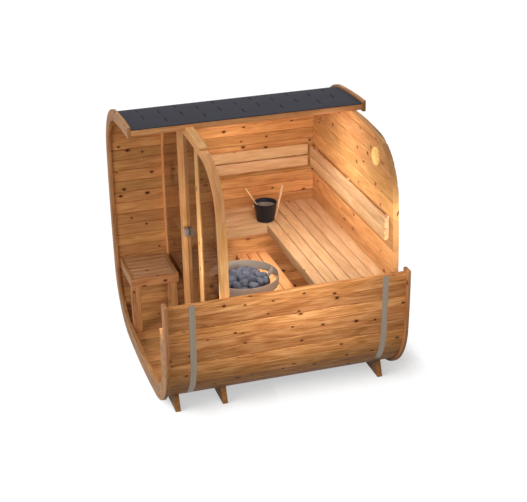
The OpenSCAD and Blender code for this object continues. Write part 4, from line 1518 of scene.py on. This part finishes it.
@dataclass
class Studio:
    """Pale floor, white surround, soft lamps and the camera at the photograph's angle."""

    focal: float = 1310.6178
    image_width: float = 527.0
    film: float = 36.0
    view_end: float = 200.0
    azimuth: float = 73.4453
    elevation: float = 24.0295
    roll: float = -1.3048
    distance: float = 11.4137
    target: Triple = (0.0, 0.1028, 0.9551)
    ambient: float = 0.30
    floor_half: float = 30.0
    floor_glow: float = 0.97
    floor_shade: float = 0.54
    floor_pale: str = "#6c6c6c"
    floor_bounce: str = "#4c4c4c"
    # Reach, lean and range of open space that shape the floor's painted shadow.
    floor_shadow_reach: float = 0.45
    floor_shadow_lean: Triple = (0.45, -0.88, 0.15)
    floor_shadow_open: Pair = (0.68, 0.92)
    floor_samples: int = 12
    floor_plain: Pair = (1.9, 3.4)

    def seen(self, tree: Tree) -> Socket:
        """Socket that is 1 for what the eye, a mirror or glass sees, and 0 for light on the object."""
        path = add(tree, "ShaderNodeLightPath").outputs
        clear = reckon(tree, "MAXIMUM", path["Is Glossy Ray"], path["Is Transmission Ray"])
        return reckon(tree, "MAXIMUM", path["Is Camera Ray"], clear)

    def surround(self) -> None:
        """Makes the world white to the eye and soft to the object."""
        world = bpy.data.worlds.new("surround")
        bpy.context.scene.world = world
        world.use_nodes = True
        tree = world.node_tree
        tree.nodes.clear()
        colour = linear("#ffffff")
        soft = add(tree, "ShaderNodeBackground", {"Color": colour, "Strength": self.ambient})
        white = add(tree, "ShaderNodeBackground", {"Color": colour, "Strength": 1.0})
        both = add(tree, "ShaderNodeMixShader", {0: self.seen(tree), 1: soft.outputs[0], 2: white.outputs[0]})
        add(tree, "ShaderNodeOutputWorld", {"Surface": both.outputs[0]})

    def floor(self) -> None:
        """Lays the pale floor, which takes the lamps' shadow and glows to the eye like the white surround.

        Near the object the glow fades with the share of open space, which leans towards the porch side.
        """
        made, tree = new_tree("pale_floor")
        seen = self.seen(tree)
        shade = blend(tree, seen, self.floor_bounce, self.floor_pale)
        dull = add(tree, "ShaderNodeBsdfDiffuse", {"Color": shade})
        away = add(tree, "ShaderNodeVectorMath", {0: object_place(tree)}, operation="LENGTH").outputs["Value"]
        level = ranged(tree, away, self.floor_plain, (self.floor_glow, 1.0), smooth=True)
        # Painted shadow: the glow darkens where little open space lies within reach, counted about a normal
        # that leans to the porch side.
        lean = add(tree, "ShaderNodeCombineXYZ", dict(zip("XYZ", self.floor_shadow_lean))).outputs[0]
        painted_shadow = add(tree, "ShaderNodeAmbientOcclusion", {"Distance": self.floor_shadow_reach, "Normal": lean},
                   samples=self.floor_samples).outputs["AO"]
        painted_shadow = ranged(tree, painted_shadow, self.floor_shadow_open, (self.floor_shade, 1.0))
        strength = reckon(tree, "MULTIPLY", seen, reckon(tree, "MULTIPLY", level, painted_shadow))
        glow = add(tree, "ShaderNodeEmission", {"Strength": strength})
        both = add(tree, "ShaderNodeAddShader", {0: dull.outputs[0], 1: glow.outputs[0]})
        add(tree, "ShaderNodeOutputMaterial", {"Surface": both.outputs[0]})
        mesh = bpy.data.meshes.new("floor")
        half = self.floor_half
        corners = [(-half, -half, 0), (half, -half, 0), (half, half, 0), (-half, half, 0)]
        mesh.from_pydata(corners, [], [(0, 1, 2, 3)])
        mesh.materials.append(made)
        laid = bpy.data.objects.new("floor", mesh)
        bpy.context.scene.collection.objects.link(laid)

    def camera(self) -> None:
        """Sets the camera: lens from the focal length in pixels, place from its angles about the target."""
        az, el, roll = (math.radians(a) for a in (self.azimuth, self.elevation, self.roll))
        back = np.array([math.sin(az) * math.cos(el), -math.cos(az) * math.cos(el), math.sin(el)])
        right = np.array([math.cos(az), math.sin(az), 0.0])
        up = np.cross(back, right)
        across = math.cos(roll) * right + math.sin(roll) * up
        above = -math.sin(roll) * right + math.cos(roll) * up
        place = np.eye(4)
        place[:3, :4] = np.stack([across, above, back, np.array(self.target) + self.distance * back], -1)
        lens = bpy.data.cameras.new("camera")
        lens.sensor_fit = "HORIZONTAL"
        lens.sensor_width = self.film
        lens.lens = self.focal / self.image_width * self.film
        lens.clip_end = self.view_end
        eye = bpy.data.objects.new("camera", lens)
        eye.matrix_world = Matrix(place.tolist())
        bpy.context.scene.collection.objects.link(eye)
        bpy.context.scene.camera = eye

    def build(self) -> None:
        """Sets up surround, floor, lamps and camera."""
        bpy.context.scene.view_settings.view_transform = "Standard"
        self.surround()
        self.floor()
        for lamp in LAMPS:
            lamp.hang()
        self.camera()


def main() -> None:
    """Builds and dresses each sub-assembly in order, then sets up the studio."""
    logging.basicConfig(level=logging.INFO, format="%(message)s", force=True)
    for part in (Shell(), Trim(), Shingles(), Front(), BackWall(), Benches(), Step(), FAR_BACKREST,
                 BACK_BACKREST, Stove(), Bucket(), PorchSeat(), Studio()):
        LOG.info("%s: %s", type(part).__name__, type(part).__doc__)
        part.build()


if __name__ == "__main__":
    main()
